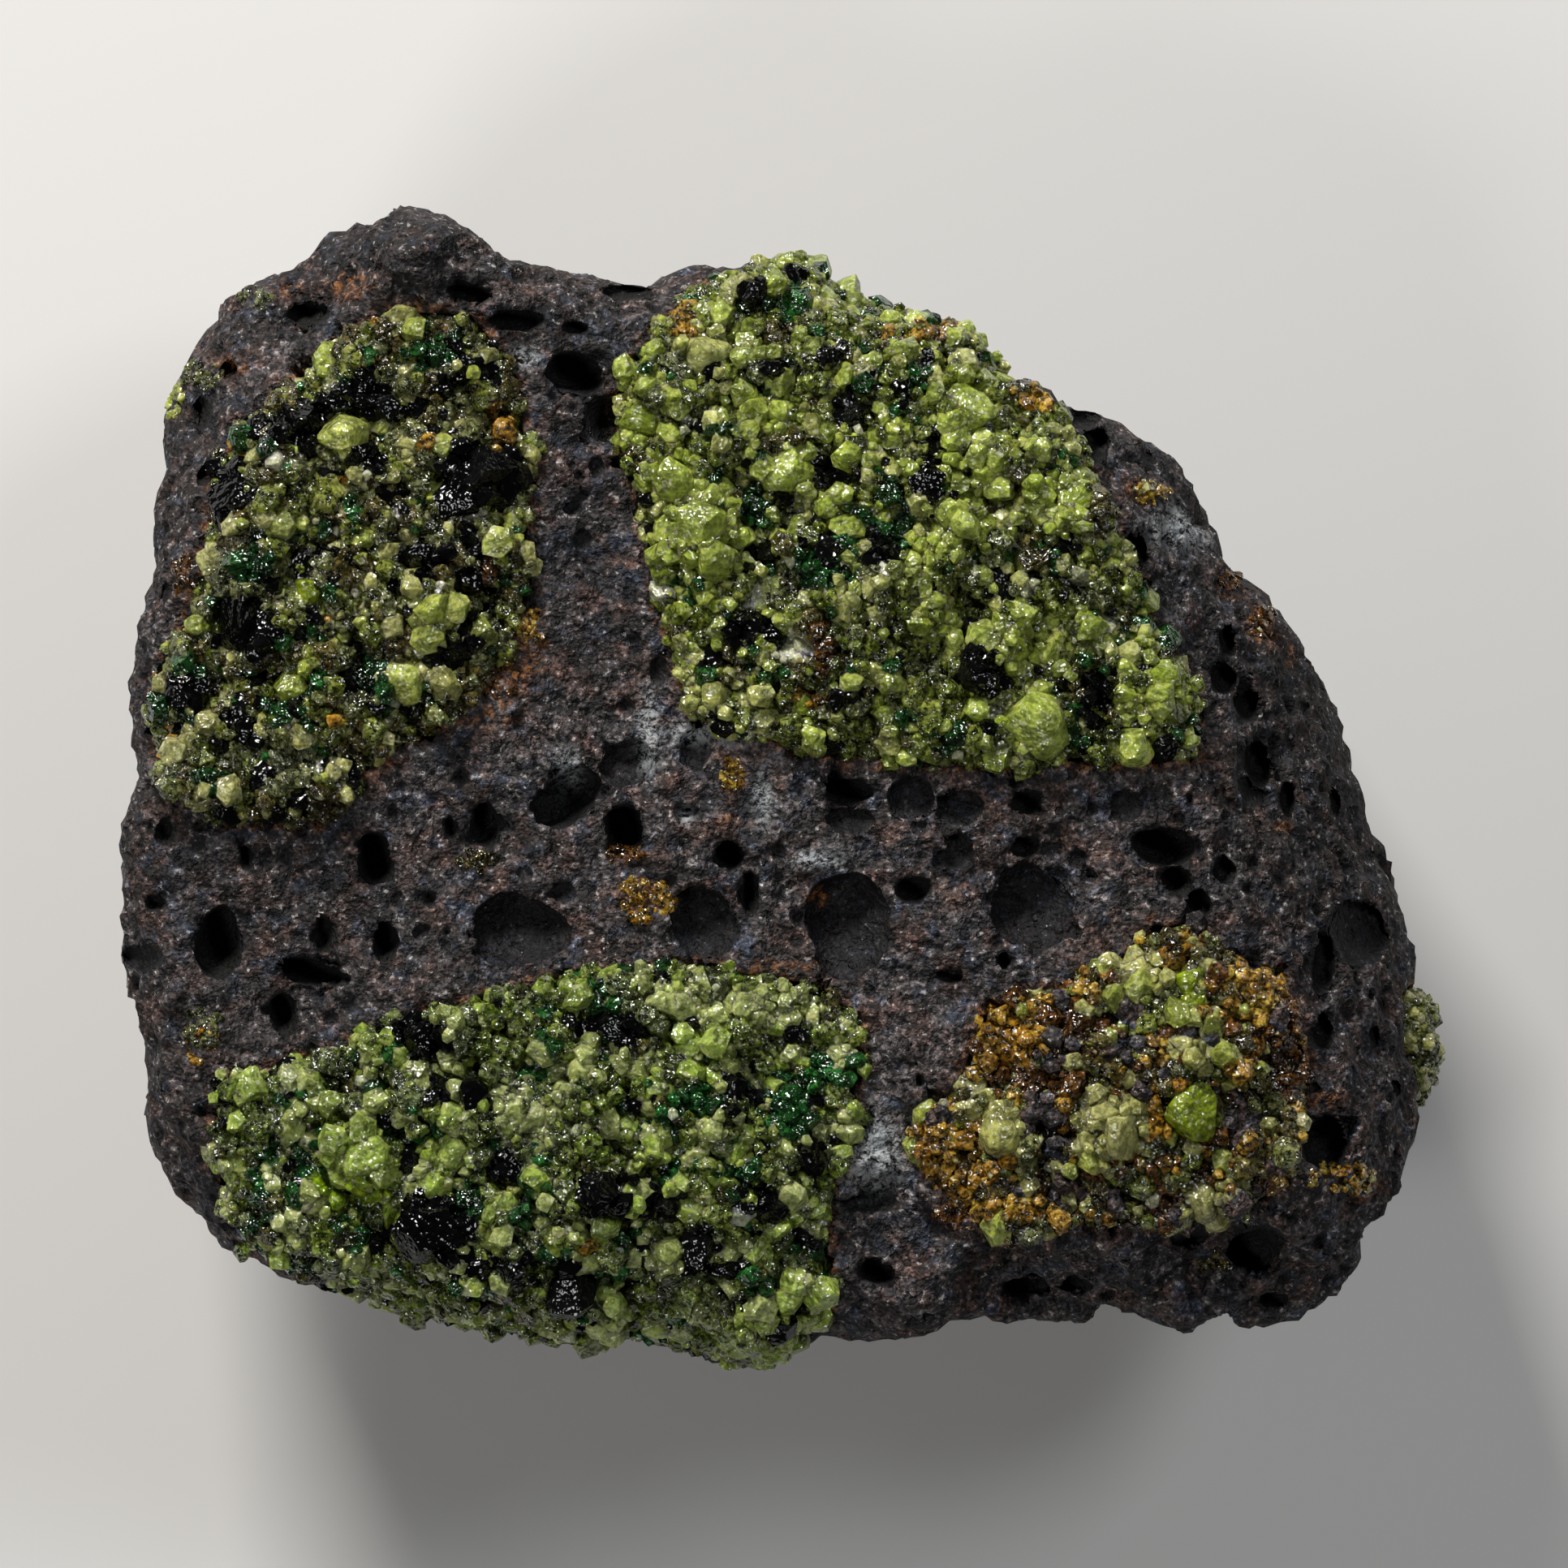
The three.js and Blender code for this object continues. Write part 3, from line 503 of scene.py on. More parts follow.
def openBubble(points, normals, hollow, near, bubble, form):
    # Presses one rounded hollow into the display face, level with the rock round it
    reach, away, centre, halves = reachOf(points[near], bubble)
    waves, (inner, outer) = bubbleForm["waves"], bubbleForm["brim"]
    flat = np.column_stack([points[near, :2], np.zeros(len(near))])
    ragged = fieldOf(flat, waves["width"] * halves.mean(), bubble[0])
    reach = reach * (1 + waves["strength"] * ragged)
    brim = (reach > inner) & (reach < outer) & (normals[near, 2] > basalt["faceSlope"])
    plane = levelRound(np.column_stack([np.ones(len(near)), away]), points[near, 2], brim)
    if plane is None:
        return
    depth = form["depth"] * (halves.min() + bubbleForm["longSide"] * halves.max())
    depth = min(bubbleForm["deepest"], depth)
    taken = reach < 1
    angle = np.clip(reach[taken], 1e-4, 1) * math.pi / 2
    stretch = np.sin(angle) / np.maximum(reach[taken], 1e-4)
    moved = away[taken] * stretch[:, None]
    slant = 1 + (away[taken] / halves) @ np.array(bubbleForm["slant"])
    drop = depth * np.cos(angle) ** form["sides"] * slant
    index = near[taken]
    points[index, :2] = centre + moved
    points[index, 2] = plane[0] + moved @ plane[1:] - drop
    # The lining darkens with depth as painted shade, and deep bubbles are painted black lower down
    shade = np.clip(drop / bubbleForm["darkAt"], 0, 1)
    if form["depth"] > 1:
        start, width = bubbleForm["paintedBlackFrom"]
        shade += np.clip((drop / halves.min() - start) / width, 0, 1)
    hollow[index] = np.maximum(hollow[index], shade)


def carveFace(points, normals, hollow, front):
    # The bubbles of the display face, the shallow ones first
    for bubbles, form in ((shallowBubbles, bubbleForm["shallow"]), (deepBubbles, bubbleForm["deep"])):
        for bubble in bubbles:
            near = np.flatnonzero(front & (reachOf(points, bubble)[0] < bubbleForm["near"]))
            openBubble(points, normals, hollow, near, bubble, form)


def pressBubble(points, hollow, tree, at, inward, radius, depth):
    # Presses a round hollow into the rock, along the rock's own normal
    near = np.array([index for _, index, _ in tree.find_range(at, radius * basalt["bubbleCatch"])])
    if len(near) < basalt["fewestPoints"]:
        return
    away = points[near] - np.array(at)
    height = away @ inward
    flat = away - np.outer(height, inward)
    reach = np.linalg.norm(flat, axis=1) / radius
    taken = reach < 1
    drop = depth * np.sqrt(1 - reach[taken] ** 2)
    index = near[taken]
    points[index] += np.outer(drop, inward)
    # The lining is painted darker towards the bottom of each bubble, as painted shade
    hollow[index] = np.maximum(hollow[index], drop / depth)


def scatterBubbles(points, normals, hollow, face, hidden):
    # Small round bubbles all over the rock, at random
    tree = treeOf(points)
    outside = ~hidden & (points[:, 2] > basalt["bubblesAbove"]) & (hollow < basalt["hollowLimits"]["bubble"])
    for group, kind in ((outside & ~face, "sideBubbles"), (outside & face, "pockmarks")):
        settings = basalt[kind]
        for index in random.choice(np.flatnonzero(group), settings["count"], replace=False):
            share = random.random() ** basalt["mostlySmall"]
            radius = settings["smallest"] + (settings["largest"] - settings["smallest"]) * share
            depth = radius * random.uniform(*basalt["bubbleDepth"])
            pressBubble(points, hollow, tree, points[index].copy(), -normals[index], radius, depth)


def roughenRock(points, normals, hollow, strength, face):
    # Lumps of every size along the normals, weaker in the smooth linings of the bubbles
    height = sumOfSpots(points, crags) * face * fieldOf(points, basalt["cragWidth"], 4.0)
    for number, (width, rise) in enumerate(basalt["lumps"]):
        shift = Vector((number * 3.7, 1.3, 2.1))
        lumps = [noise.fractal(Vector(point / width) + shift, *basalt["fractal"]) for point in points]
        there = 1 if width > 2 * basalt["voxel"] else np.where(face, 1, basalt["keptFine"])
        height += rise * np.array(lumps) * there
    calm = 1 - basalt["calmLining"] * np.minimum(hollow, 1)
    points += normals * (height * strength * calm)[:, None]


def subdivideWhere(mesh, chosen):
    shape = bmesh.new()
    shape.from_mesh(mesh)
    shape.verts.ensure_lookup_table()
    edges = [edge for edge in shape.edges if chosen[edge.verts[0].index] and chosen[edge.verts[1].index]]
    bmesh.ops.subdivide_edges(shape, edges=edges, cuts=1, use_grid_fill=True)
    shape.to_mesh(mesh)
    shape.free()


def depthBelowTop(points, surface):
    # How far each point lies below the highest thing over it, rock or nodule
    depth = np.full(len(points), 1.0)  # more than anything here, for the points that aren't looked at
    for index in np.flatnonzero(points[:, 2] > basalt["faceAbove"]):
        x, y, z = points[index]
        hits = [straightDown(tree, x, y)[0] for tree in (surface, noduleSurface)]
        depth[index] = max([z] + [hit.z for hit in hits if hit]) - z
    return depth


def distanceToNodules(points):
    return np.array([noduleSurface.find_nearest(Vector(point))[3] for point in points])


def sortRock(mesh, surface):
    # Which points are on the display face, and which are hidden in the pockets
    points, normals = readPoints(mesh), readPoints(mesh, "normal")
    depth = depthBelowTop(points, surface)
    hidden = (distanceToNodules(points) < basalt["hiddenReach"]) & (depth > basalt["hiddenDepth"])
    face = (depth < basalt["faceDepth"]) & (normals[:, 2] > basalt["faceSlope"]) & ~hidden
    return face, hidden, depth


def closeGap(points, hidden, hollow):
    # Draws the brim of each pocket in to its nodule, so that the rock meets the grains
    for index in np.flatnonzero(~hidden & (hollow < basalt["hollowLimits"]["drawn"])):
        place, _, _, distance = noduleSurface.find_nearest(Vector(points[index]), basalt["gapReach"])
        if place is not None:
            pull = min(1.0, (basalt["gapReach"] - distance) / (basalt["gapReach"] - basalt["gap"]))
            points[index] += (np.array(place) - points[index]) * pull


def thin(piece, chosen, kept):
    # Leaves fewer faces where the mesh can be coarse
    group = piece.vertex_groups.new(name="coarse")
    group.add([int(index) for index in np.flatnonzero(chosen)], 1.0, "REPLACE")
    decimate = piece.modifiers.new("thin", "DECIMATE")
    decimate.ratio = 1 - chosen.mean() * (1 - kept)
    decimate.vertex_group = group.name
    applyModifiers(piece)
    piece.vertex_groups.clear()


def refineFace(mesh, surface):
    # A finer mesh on the display face, and finer still at the brims of its bubbles
    subdivideWhere(mesh, sortRock(mesh, surface)[0])
    points = readPoints(mesh)
    nearBrim = np.zeros(len(points), bool)
    middle, width = bubbleForm["fineRing"]
    for bubble in deepBubbles + shallowBubbles:
        nearBrim |= np.abs(reachOf(points, bubble)[0] - middle) < width
    subdivideWhere(mesh, nearBrim & sortRock(mesh, surface)[0])


def measureRock(mesh, points, hollow, face):
    # What the material has to know at each point
    rim = basalt["rustRim"]
    nearNodule = np.clip(rim["full"] - distanceToNodules(points) / rim["reach"], 0, 1)
    addMeasure(mesh, "hollow", hollow)
    addMeasure(mesh, "rust", np.maximum(nearNodule * rim["strength"], inSpots(points, rustSpots) * face))
    addMeasure(mesh, "pale", inSpots(points, paleSpots) * face)
    addMeasure(mesh, "zoneShift", sumOfSpots(points, toneZones))


def makeBasalt():
    piece = mergedCopy("basalt_matrix", "basalt_surface")
    evenOut(piece, basalt["voxel"], basalt["smoothing"])
    surface = surfaceOf(piece.data)
    thin(piece, sortRock(piece.data, surface)[1], basalt["keptHidden"])
    mesh = piece.data
    refineFace(mesh, surface)
    face, hidden, depth = sortRock(mesh, surface)
    points, normals = readPoints(mesh), readPoints(mesh, "normal")
    print("basalt refined:", countTriangles(mesh), "triangles, face", round(face.mean(), 2))

    hollow = np.zeros(len(points))
    carveFace(points, normals, hollow, (depth < basalt["faceBubbleDepth"]) & ~hidden)
    writePoints(mesh, points)
    scatterBubbles(points, readPoints(mesh, "normal"), hollow, face, hidden)
    writePoints(mesh, points)
    resting = np.clip(points[:, 2] / basalt["calmFoot"], 0, 1)
    roughenRock(points, readPoints(mesh, "normal"), hollow, resting * ~hidden, face)
    closeGap(points, hidden, hollow)
    points[:, 2] = np.maximum(points[:, 2], 0)
    writePoints(mesh, points)
    measureRock(mesh, points, hollow, face)
    thin(piece, ~face & ~hidden & (hollow < basalt["hollowLimits"]["thinned"]), basalt["keptSides"])
    mesh = piece.data
    for polygon in mesh.polygons:
        polygon.use_smooth = True
    mesh.materials.append(basaltMaterial())
    print("basalt finished:", countTriangles(mesh), "triangles")
    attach(piece, "root")
    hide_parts("basalt_matrix")
    return piece


basaltTones = {
    "light": (0.134, 0.117, 0.119, 1),
    "brown": (0.168, 0.098, 0.080, 1),
    "blue": (0.080, 0.096, 0.142, 1),
    "liningAndShade": (0.120, 0.134, 0.166, 1),  # what the linings keep of the colour: their own bluish tone, darkened further as painted shade
    # painted shade: near black at the bottom of the deep bubbles
    "depth": (0.0015, 0.0015, 0.0015, 1),
    "rust": (0.22, 0.085, 0.018, 1),
    "deepRust": (0.050, 0.016, 0.006, 1),
    "crust": (0.34, 0.36, 0.37, 1),
    "fleck": (0.52, 0.50, 0.48, 1),
}

basaltLook = {
    # Noises: how wide their lumps are, then detail and roughness
    "grain": (0.42 * mm, 3.0, 0.65),
    "blotches": (1.5 * mm, 5.0, 0.7),
    "patches": (2.6 * mm, 4.0, 0.65),
    "blueness": (1.7 * mm, 3.0, 0.6),
    "pitEdges": (0.5 * mm, 2.0, 0.6),
    "flecks": (0.42 * mm, 3.0, 0.6),
    "stains": (0.7 * mm, 5.0, 0.75),
    "coarseRelief": (0.9 * mm, 1.0, 0.5),
    "fineRelief": (0.26 * mm, 1.0, 0.5),
    # Cells: how wide they are
    "crystals": 0.22 * mm,
    "pits": 1.15 * mm,
    # How much of their own colour the flecks and the stains have
    "fleckShare": 0.40,
    "stainShare": 0.75,
    # How high the relief of the material is
    "pitDepth": 0.35 * mm,
    "coarseHeight": 0.52 * mm,
    "fineHeight": 0.28 * mm,
    "shine": 0.3,
}
# From which value to which a noise or a measure counts, then what it gives there, if not 0 and 1
basaltRanges = {
    "grainTone": (0.36, 0.66, 0.10, 1.0),
    "blotchTone": (0.40, 0.60, 0.30, 1.0),
    "crystalTone": (0.0, 1.0, 0.40, 1.35),
    "pitShade": (0, 1, 1.0, 0.25),
    "zoneShiftTone": (-1.0, 1.0, 0.0, 2.0),
    "brownness": (0.44, 0.62),
    "blueness": (0.50, 0.66),
    "flecks": (0.62, 0.67),
    # where the linings take their tone, darkened as painted shade
    "liningAndShade": (0.1, 0.9),
    # where the deep bubbles turn to painted black shade
    "depth": (1.02, 1.6),
    "stain": (0.40, 0.60),
    "stained": (0.15, 0.7),
    "rustTone": (0.45, 0.58),
    "crust": (0.38, 0.54),
    "pitEdge": (0.35, 0.65, 0.6, 1.7),
    "pitWall": (0.36, 0.20),
    "pitChoice": (0.45, 0.5),  # which of the cells have a pit
    "roughness": (0, 1, 0.75, 0.28),  # of the rock, and of its flecks
}


def basaltColour(tree, grain, pit, flecks):
    # From the fresh rock up: its tone with pits painted darker as painted shade, flecks, linings of bubbles
    # in their own bluish tone darkened as painted shade, painted black shade deep in the bubbles, rust
    # stains and pale crusts
    look, tones, ranges = basaltLook, basaltTones, basaltRanges
    brownness = between(tree, objectNoise(tree, *look["patches"]), *ranges["brownness"])
    blueness = between(tree, objectNoise(tree, *look["blueness"]), *ranges["blueness"])
    hue = mixColours(tree, brownness, tones["light"], tones["brown"])
    hue = mixColours(tree, blueness, hue, tones["blue"])
    tone = between(tree, grain, *ranges["grainTone"])
    darkened = {
        "blotchTone": objectNoise(tree, *look["blotches"]),
        "crystalTone": pickOf(tree, objectCells(tree, look["crystals"])),
        # the pits are painted darker, as painted shade
        "pitShade": pit,
        "zoneShiftTone": attribute(tree, "zoneShift"),
    }
    for name, value in darkened.items():
        tone = multiply(tree, tone, between(tree, value, *ranges[name]))
    colour = mixColours(tree, 1.0, hue, greyOf(tree, tone), "MULTIPLY")
    colour = mixColours(tree, multiply(tree, flecks, look["fleckShare"]), colour, tones["fleck"])
    hollow = attribute(tree, "hollow")
    # The linings darken with depth: their own bluish tone with painted shade
    colour = mixColours(tree, between(tree, hollow, *ranges["liningAndShade"]), colour, tones["liningAndShade"], "MULTIPLY")
    # Deep in the bubbles the rock is painted black, as painted shade
    colour = mixColours(tree, between(tree, hollow, *ranges["depth"]), colour, tones["depth"])
    stain = between(tree, objectNoise(tree, *look["stains"]), *ranges["stain"])
    stained = between(tree, multiply(tree, attribute(tree, "rust"), stain), *ranges["stained"])
    rustTone = mixColours(tree, between(tree, grain, *ranges["rustTone"]), tones["deepRust"], tones["rust"])
    colour = mixColours(tree, multiply(tree, stained, look["stainShare"]), colour, rustTone)
    crust = multiply(tree, attribute(tree, "pale"), between(tree, grain, *ranges["crust"]))
    return mixColours(tree, crust, colour, tones["crust"])


def basaltMaterial():
    material, tree, shader = startMaterial("basaltRock")
    look, ranges = basaltLook, basaltRanges
    grain = objectNoise(tree, *look["grain"])
    flecks = between(tree, objectNoise(tree, *look["flecks"]), *ranges["flecks"])
    # Small pits in some of the cells, with ragged edges, painted darker inside as painted shade
    cells = objectCells(tree, look["pits"])
    ragged = between(tree, objectNoise(tree, *look["pitEdges"]), *ranges["pitEdge"])
    wall = between(tree, multiply(tree, cells.outputs["Distance"], ragged), *ranges["pitWall"])
    pit = multiply(tree, wall, between(tree, pickOf(tree, cells), *ranges["pitChoice"]))
    tree.links.new(basaltColour(tree, grain, pit, flecks), shader.inputs["Base Color"])
    tree.links.new(between(tree, flecks, *ranges["roughness"]), shader.inputs["Roughness"])
    shader.inputs["Specular IOR Level"].default_value = look["shine"]
    pitted = bump(tree, pit, -look["pitDepth"])
    coarse = bump(tree, objectNoise(tree, *look["coarseRelief"]), look["coarseHeight"], pitted)
    fine = bump(tree, objectNoise(tree, *look["fineRelief"]), look["fineHeight"], coarse)
    tree.links.new(fine, shader.inputs["Normal"])
    return material


# Peridot grains

# Colours in linear light from dark to light, and the material of each kind of grain
grainKinds = {
    "olivine": {"material": "clearPeridot", "tones": [(0.38, 0.47, 0.055), (0.78, 0.88, 0.18)]},
    "bright": {"material": "cloudyPeridot", "tones": [(0.50, 0.59, 0.085), (0.74, 0.82, 0.20)]},
    "pure": {"material": "cloudyPeridot", "tones": [(0.34, 0.46, 0.010), (0.52, 0.64, 0.025)]},
    "pale": {"material": "cloudyPeridot", "tones": [(0.62, 0.62, 0.20), (0.83, 0.82, 0.33)]},
    "grey": {"material": "clearPeridot", "tones": [(0.29, 0.32, 0.10), (0.60, 0.64, 0.24)]},
    "brown": {"material": "clearPeridot", "tones": [(0.16, 0.12, 0.02), (0.40, 0.33, 0.09)]},
    "frosted": {"material": "cloudyPeridot", "tones": [(0.76, 0.76, 0.48), (0.86, 0.85, 0.62)]},
    "diopside": {"material": "chromeDiopside", "tones": [(0.006, 0.050, 0.009), (0.030, 0.17, 0.028)]},
    "spinel": {"material": "blackSpinel", "tones": [(0.001, 0.001, 0.001), (0.003, 0.003, 0.003)]},
    "amber": {"material": "stainedGrain", "tones": [(0.42, 0.20, 0.013), (0.86, 0.51, 0.08)]},
    "rust": {"material": "stainedGrain", "tones": [(0.06, 0.022, 0.005), (0.25, 0.105, 0.020)]},
    "rock": {"material": "basaltRock", "tones": [(0.1, 0.1, 0.1), (0.1, 0.1, 0.1)]},
}

grainForm = {
    "voxel": 0.66 * mm,
    "smoothing": 3,
    # Stones about 2 units wide, each cut from a block: how far out the cuts are, and how they spread
    "variants": 16,
    "block": 1.8,
    "cuts": 8,
    "cutFrom": 0.72,
    "cutTo": 0.98,
    "cutSpread": 0.22,
    "merged": 0.12,  # corners closer than this become one
    "slim": 0.05,  # edges shorter than this go
    "stretch": (0.78, 1.25),
    "sharpAngle": 38,  # degrees
    "larger": {"spinel": 1.2, "bright": 1.25, "pale": 1.2},  # kinds that stand in larger grains
    "spacing": 0.54,  # of the sum of two radii, so that the grains grow into each other
    # Smallest and largest radius, and how many are tried, in times what would cover the nodule
    "sizes": [(0.44 * mm, 0.88 * mm, 5.0), (0.28 * mm, 0.44 * mm, 3.0)],
    "mostlySmall": 1.3,  # a higher power gives more small ones
    "scatter": 0.2 * mm,  # how far they stray from the nodule's surface
    "lift": (-0.64, -0.08),  # in radii, so all are sunk
    # A place is bare where there is no rock within reach, or where it lies this little below the rock
    "bare": {"start": 0.15 * mm, "reach": 2.5 * mm, "brim": 1.5 * mm},
    # Relief of the broken nodule: width and height of each size of lump
    "swells": [(2.8 * mm, 0.9 * mm), (1.3 * mm, 0.6 * mm)],
    # The mass behind the grains: how far it lies below them, and its tone, a little darker than the grains
    # as painted shade between them
    "sunk": 0.08 * mm,
    "massShadeTone": 0.92,
    # Winding cracks between the masses of grains, which come and go; the grains in them are painted darker
    # as painted shade
    "cracks": {"width": 2.6 * mm, "share": 0.09, "depth": 0.8 * mm, "crackShade": 0.93,
               "breaks": 1.7, "contrast": 3},
    # Patches in which one kind keeps together, and the ragged edges of the clusters below
    "patches": {"width": 2.4 * mm, "strength": 4.5},
    "edges": {"width": 1.1 * mm, "strength": 0.35, "filled": 0.86},
    # Tint from dark to light: in patches, and from grain to grain
    "tint": {"width": 2 * mm, "patches": 0.9, "single": 0.22, "lightest": 0.95},
}

# The large crystals, rounded and then flattened by broken faces
crystalForm = {
    "variants": 6,
    "fineness": 3,  # how often the faces of the round form are divided
    "lumps": {"size": 1.5, "rise": 0.05, "fractal": (0.9, 2, 3)},
    "flats": 14,
    "flatFrom": 0.56,
    "flatTo": 0.84,
    "grow": 1.12,  # because the flats take away from the radius
    "sunk": 0.12,  # in radii
    "room": 1.5,  # the radius that counts when other grains keep their distance
}

# Each nodule: what its colours are multiplied by, and how its grains are shared out between the kinds
nodules = {
    "peridot_nodule_upper_left": {
        "seed": 11,
        "hue": (1.0, 1.0, 1.05),
        "shares": {
            "olivine": 0.26, "grey": 0.38, "bright": 0.04, "pale": 0.07, "brown": 0.12,
            "frosted": 0.006, "diopside": 0.07, "spinel": 0.05, "amber": 0.02,
        },
    },
    "peridot_nodule_upper_right": {
        "seed": 12,
        "hue": (0.95, 1.0, 0.92),
        "shares": {
            "olivine": 0.44, "grey": 0.12, "bright": 0.22, "pale": 0.08, "brown": 0.05,
            "frosted": 0.005, "diopside": 0.07, "spinel": 0.03,
        },
    },
    "peridot_nodule_lower_left": {
        "seed": 13,
        "hue": (0.90, 1.03, 1.0),
        "shares": {
            "olivine": 0.40, "grey": 0.16, "bright": 0.14, "pale": 0.14, "brown": 0.03,
            "frosted": 0.006, "diopside": 0.11, "spinel": 0.05,
        },
    },
    "peridot_nodule_lower_right": {
        "seed": 14,
        "shares": {
            "olivine": 0.14, "grey": 0.08, "bright": 0.05, "pale": 0.08, "brown": 0.20,
            "frosted": 0.008, "amber": 0.22, "rust": 0.14, "rock": 0.09,
        },
    },
    "peridot_sliver_right_edge": {
        "seed": 15,
        "fineness": 0.55,  # its grains are smaller, and it is smoother
        "shares": {"pale": 0.35, "olivine": 0.35, "grey": 0.30},
    },
}

# Where one kind of grain stands together, in pixels: column, row, half width, half height
clusters = {
    "spinel": [
        (355, 530, 45, 22), (285, 615, 28, 28), (450, 500, 55, 22), (545, 480, 25, 15),
        (455, 567, 25, 12), (595, 590, 52, 42), (520, 690, 28, 20), (295, 770, 42, 36),
        (545, 810, 26, 12), (320, 840, 12, 12), (230, 855, 26, 24), (290, 880, 20, 14),
        (335, 1010, 15, 15), (580, 665, 15, 15), (955, 458, 20, 18), (1045, 505, 20, 18),
        (1150, 570, 12, 70), (1015, 580, 20, 20), (1080, 680, 28, 24), (1010, 690, 22, 38),
        (935, 690, 15, 15), (925, 780, 30, 14), (1215, 815, 34, 42), (1345, 890, 10, 10),
        (520, 1280, 28, 26), (545, 1350, 20, 18), (490, 1355, 10, 10), (760, 1265, 32, 20),
        (620, 1435, 25, 15), (535, 1520, 42, 40), (470, 1520, 15, 15), (610, 1560, 20, 12),
        (700, 1590, 28, 32), (740, 1480, 28, 18), (820, 1480, 32, 22), (860, 1540, 28, 26),
        (935, 1480, 28, 22), (985, 1530, 18, 18), (1000, 1420, 15, 15), (980, 350, 16, 20),
    ],
    "diopside": [
        (540, 440, 25, 22), (310, 700, 28, 22), (275, 750, 16, 30), (430, 840, 18, 18),
        (980, 375, 24, 34), (930, 625, 20, 18), (845, 715, 22, 34), (1110, 650, 22, 26),
        (1130, 470, 16, 16), (1095, 605, 18, 16), (1320, 880, 15, 14), (1060, 640, 14, 14),
        (1160, 912, 36, 14), (380, 1430, 20, 28), (325, 1465, 13, 13), (470, 1400, 20, 18),
        (580, 1480, 25, 22), (735, 1220, 20, 18), (660, 1460, 20, 18), (980, 1350, 24, 34),
        (870, 1350, 14, 24), (830, 1440, 15, 15), (930, 1590, 25, 22), (1000, 700, 34, 26),
        (700, 1610, 22, 20),
    ],
    "bright": [
        (425, 535, 24, 28), (830, 590, 40, 34), (870, 660, 52, 58), (790, 520, 28, 28),
        (940, 510, 58, 28), (1200, 530, 38, 66), (1270, 890, 44, 34), (1250, 790, 38, 36),
        (1430, 860, 34, 32), (1320, 790, 38, 36), (450, 1430, 52, 38), (560, 1420, 38, 20),
        (930, 1655, 58, 28), (533, 750, 30, 28), (500, 840, 24, 22), (900, 420, 40, 30),
        (1180, 620, 30, 60), (1300, 620, 40, 40),
    ],
    "pure": [(375, 735, 28, 20), (1465, 1210, 24, 26), (1470, 1375, 32, 32), (430, 1470, 50, 26)],
    "pale": [
        (650, 1380, 42, 32), (920, 1235, 110, 26), (870, 430, 36, 26), (1370, 1390, 48, 44),
        (1230, 1400, 34, 30), (1400, 1190, 40, 28), (1480, 1480, 40, 20), (840, 860, 40, 26),
        (1480, 1300, 40, 18),
    ],
    "frosted": [
        (340, 572, 12, 12), (930, 743, 16, 16), (975, 800, 20, 34), (850, 520, 14, 12),
        (1265, 730, 14, 14), (965, 690, 12, 12),
    ],
    "brown": [
        (960, 410, 24, 18), (1010, 780, 34, 30), (1000, 820, 20, 28), (1300, 480, 60, 22),
        (1275, 675, 18, 20), (1360, 640, 22, 30), (590, 860, 40, 26), (640, 470, 20, 30),
        (400, 990, 30, 14),
    ],
    "amber": [
        (1290, 488, 40, 20), (1135, 412, 46, 12), (842, 400, 12, 30), (1010, 862, 34, 12),
        (1250, 1270, 60, 40), (1550, 1230, 46, 30), (1180, 1430, 50, 40), (1240, 1490, 60, 20),
        (730, 1530, 14, 12), (620, 520, 12, 40),
    ],
    "rust": [
        (1010, 805, 16, 26), (1330, 470, 14, 10), (600, 700, 10, 40), (1320, 1260, 34, 40),
        (1290, 1330, 50, 20), (1590, 1300, 26, 60), (1420, 1480, 40, 22),
    ],
    "rock": [
        (1300, 1290, 26, 22), (1280, 1370, 26, 24), (1530, 1390, 22, 34), (1400, 1245, 24, 16),
        (1320, 1470, 28, 20), (1370, 1480, 18, 14), (1460, 1270, 18, 14),
    ],
}

# Single large crystals, in pixels: column, row, radius
crystals = {
    "bright": [
        (533, 750, 26), (425, 535, 26), (833, 590, 27), (862, 645, 28), (885, 690, 26), (1270, 890, 34),
        (970, 580, 26), (795, 520, 24), (1200, 500, 28), (560, 1420, 22), (450, 1425, 24),
        (500, 840, 24),
    ],
    "pure": [(375, 735, 26), (1465, 1200, 24), (1475, 1230, 18), (1470, 1375, 32)],
    "pale": [
        (650, 1380, 30), (1385, 1398, 26), (1352, 1408, 22), (1225, 1400, 30), (1400, 1185, 26),
        (868, 432, 26), (1480, 1480, 22), (885, 855, 18),
    ],
    "frosted": [
        (340, 572, 14), (930, 743, 17), (985, 800, 22), (965, 690, 12), (712, 1390, 8), (1228, 878, 8),
    ],
    "spinel": [
        (375, 515, 22), (330, 545, 22), (595, 570, 30), (570, 620, 24), (625, 605, 22), (285, 615, 26),
        (455, 505, 28), (290, 770, 32), (520, 690, 20), (530, 1520, 28), (700, 1590, 22),
        (860, 1540, 20), (760, 1265, 20), (515, 1280, 20),
    ],
    "diopside": [(980, 370, 22), (980, 1345, 20), (380, 1435, 18), (540, 440, 18), (1110, 650, 16)],
}


def stretchStone(shape, source):
    bmesh.ops.scale(shape, vec=Vector(source.uniform(*grainForm["stretch"], 3)), verts=shape.verts)


